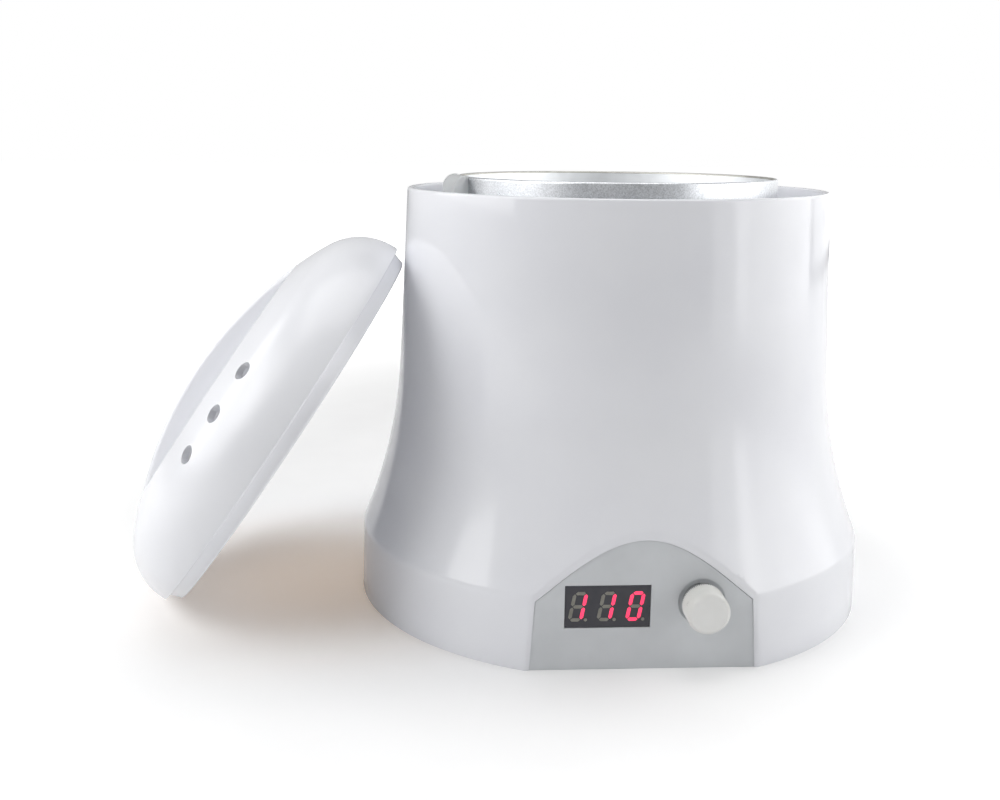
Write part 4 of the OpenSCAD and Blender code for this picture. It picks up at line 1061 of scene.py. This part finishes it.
select_only()
bpy.ops.mesh.primitive_plane_add(size=12)
floor = bpy.context.object
floor.name = floor.data.name = "floor"
paper, tree, place, shader = new_material("white_paper")
grain = add(tree, "TexNoise", None, {"Scale": 40.0, "Detail": 2.0},
            {"Vector": (place, "Object")})
tone = add(tree, "ValToRGB", links={"Fac": (grain, "Fac")})
for stop, hexcode in zip(tone.color_ramp.elements, ("F2F2F2", "F6F6F6")):
    stop.color = srgb(hexcode)
tree.links.new(tone.outputs["Color"], shader.inputs["Base Color"])
shader.inputs["Roughness"].default_value = 0.9
shader.inputs["Specular IOR Level"].default_value = 0.0
ray, clear = direct_rays(tree)
seen = add(tree, "Math", {"operation": "MULTIPLY_ADD"}, {1: mirror_share},
           {0: (ray, "Is Glossy Ray"), 2: (clear, "Value")})
# Painted shade: the floor's white lift falls off over an oval round the object, which darkens the
# floor there.
oval = add(tree, "VectorMath", {"operation": "MULTIPLY"}, {1: oval_scale},
           {0: (place, "Object")})
away = add(tree, "VectorMath", {"operation": "DISTANCE"}, {1: painted_shade_centre},
           {0: (oval, "Vector")})
fade = add(tree, "MapRange", SMOOTH,
           {"From Min": 0.085, "From Max": 0.41}, {"Value": (away, "Value")})
lift = add(tree, "Math", {"operation": "MULTIPLY"}, None,
           {0: (seen, "Value"), 1: (fade, "Result")})
tree.links.new(lift.outputs["Value"], shader.inputs["Emission Strength"])
shader.inputs["Emission Color"].default_value = (1, 1, 1, 1)
# Painted warm bounce light, added to the floor near the gap between the lid and the housing.
gap = add(tree, "VectorMath", {"operation": "DISTANCE"}, {1: gap_centre},
          {0: (place, "Object")})
near_gap = add(tree, "MapRange", SMOOTH,
    {"From Min": 0.005, "From Max": 0.11, "To Min": 0.3, "To Max": 0.0}, {"Value": (gap, "Value")})
mirror = add(tree, "Math", {"operation": "ADD"}, None,
             {0: (clear, "Value"), 1: (ray, "Is Glossy Ray")})
painted_warm_bounce = add(tree, "Math", {"operation": "MULTIPLY"}, None,
             {0: (mirror, "Value"), 1: (near_gap, "Result")})
bounce = add(tree, "Emission", None, {"Color": (1.0, 0.75, 0.53, 1.0)},
             {"Strength": (painted_warm_bounce, "Value")})
both = add(tree, "AddShader", links={0: (shader, "BSDF"), 1: (bounce, "Emission")})
tree.links.new(both.outputs["Shader"], tree.nodes["Material Output"].inputs["Surface"])
dress(paper, floor)
print("floor laid")

# %% [markdown]
# The light is seven soft panels: large ones at both sides and above, which draw broad
# bright bands down the glossy housing and leave its middle a little darker, and small
# ones that fill the front and the back. The surround is white to the camera, grey in
# reflections and nearly dark as a light, so it adds almost no light of its own.

# %% World and lights
world = bpy.data.worlds.new("studio")
bpy.context.scene.world = world
world.use_nodes = True
tree = world.node_tree
tree.nodes.clear()
ray, clear = direct_rays(tree)
way = add(tree, "TexCoord")
axes = add(tree, "SeparateXYZ", links={"Vector": (way, "Generated")})
mirrored = add(tree, "MapRange", SMOOTH,
    {"From Min": -0.6, "From Max": 0.4, "To Min": 0.6, "To Max": 0.4}, {"Value": (axes, "Y")})
unseen = add(tree, "MapRange", None, {"To Min": 0.01},
             {"Value": (ray, "Is Glossy Ray"), "To Max": (mirrored, "Result")})
strength = add(tree, "MapRange", None, {"To Max": 1.0},
               {"Value": (clear, "Value"), "To Min": (unseen, "Result")})
back = add(tree, "Background", None, {"Color": (1, 1, 1, 1)},
           {"Strength": (strength, "Result")})
add(tree, "OutputWorld", links={"Surface": (back, "Background")})

panels = {  # place, width and height in metres, and power in watts
    "left_side": ((-1.25, 0, 0.7), 1.6, 1.0, 12.0),
    "left_high": ((-0.9, -0.5, 0.9), 0.8, 0.8, 3.9),
    "right_box": ((1.2, -0.15, 0.4), 1.4, 1.0, 8.8),
    "right_side": ((1.25, 0.15, 0.7), 1.2, 1.0, 2.8),
    "right_front": ((1.0, -0.8, 0.45), 0.5, 1.0, 1.6),
    "right_back": ((0.9, 0.9, 0.5), 1.0, 1.0, 3.2),
    "top": ((0, 0.1, 1.3), 1.2, 1.0, 7.4),
}
target = Vector((0, 0, 0.08))
for title, (place, width, height, power) in panels.items():
    select_only()
    bpy.ops.object.light_add(type="AREA", location=place)
    light = bpy.context.object
    light.name = light.data.name = title
    light.data.shape, light.data.size, light.data.size_y = "RECTANGLE", width, height
    light.data.energy = power
    light.rotation_euler = (target - Vector(place)).to_track_quat("-Z", "Y").to_euler()
bpy.context.scene.view_settings.view_transform = "Standard"
print(len(panels), "soft panels")
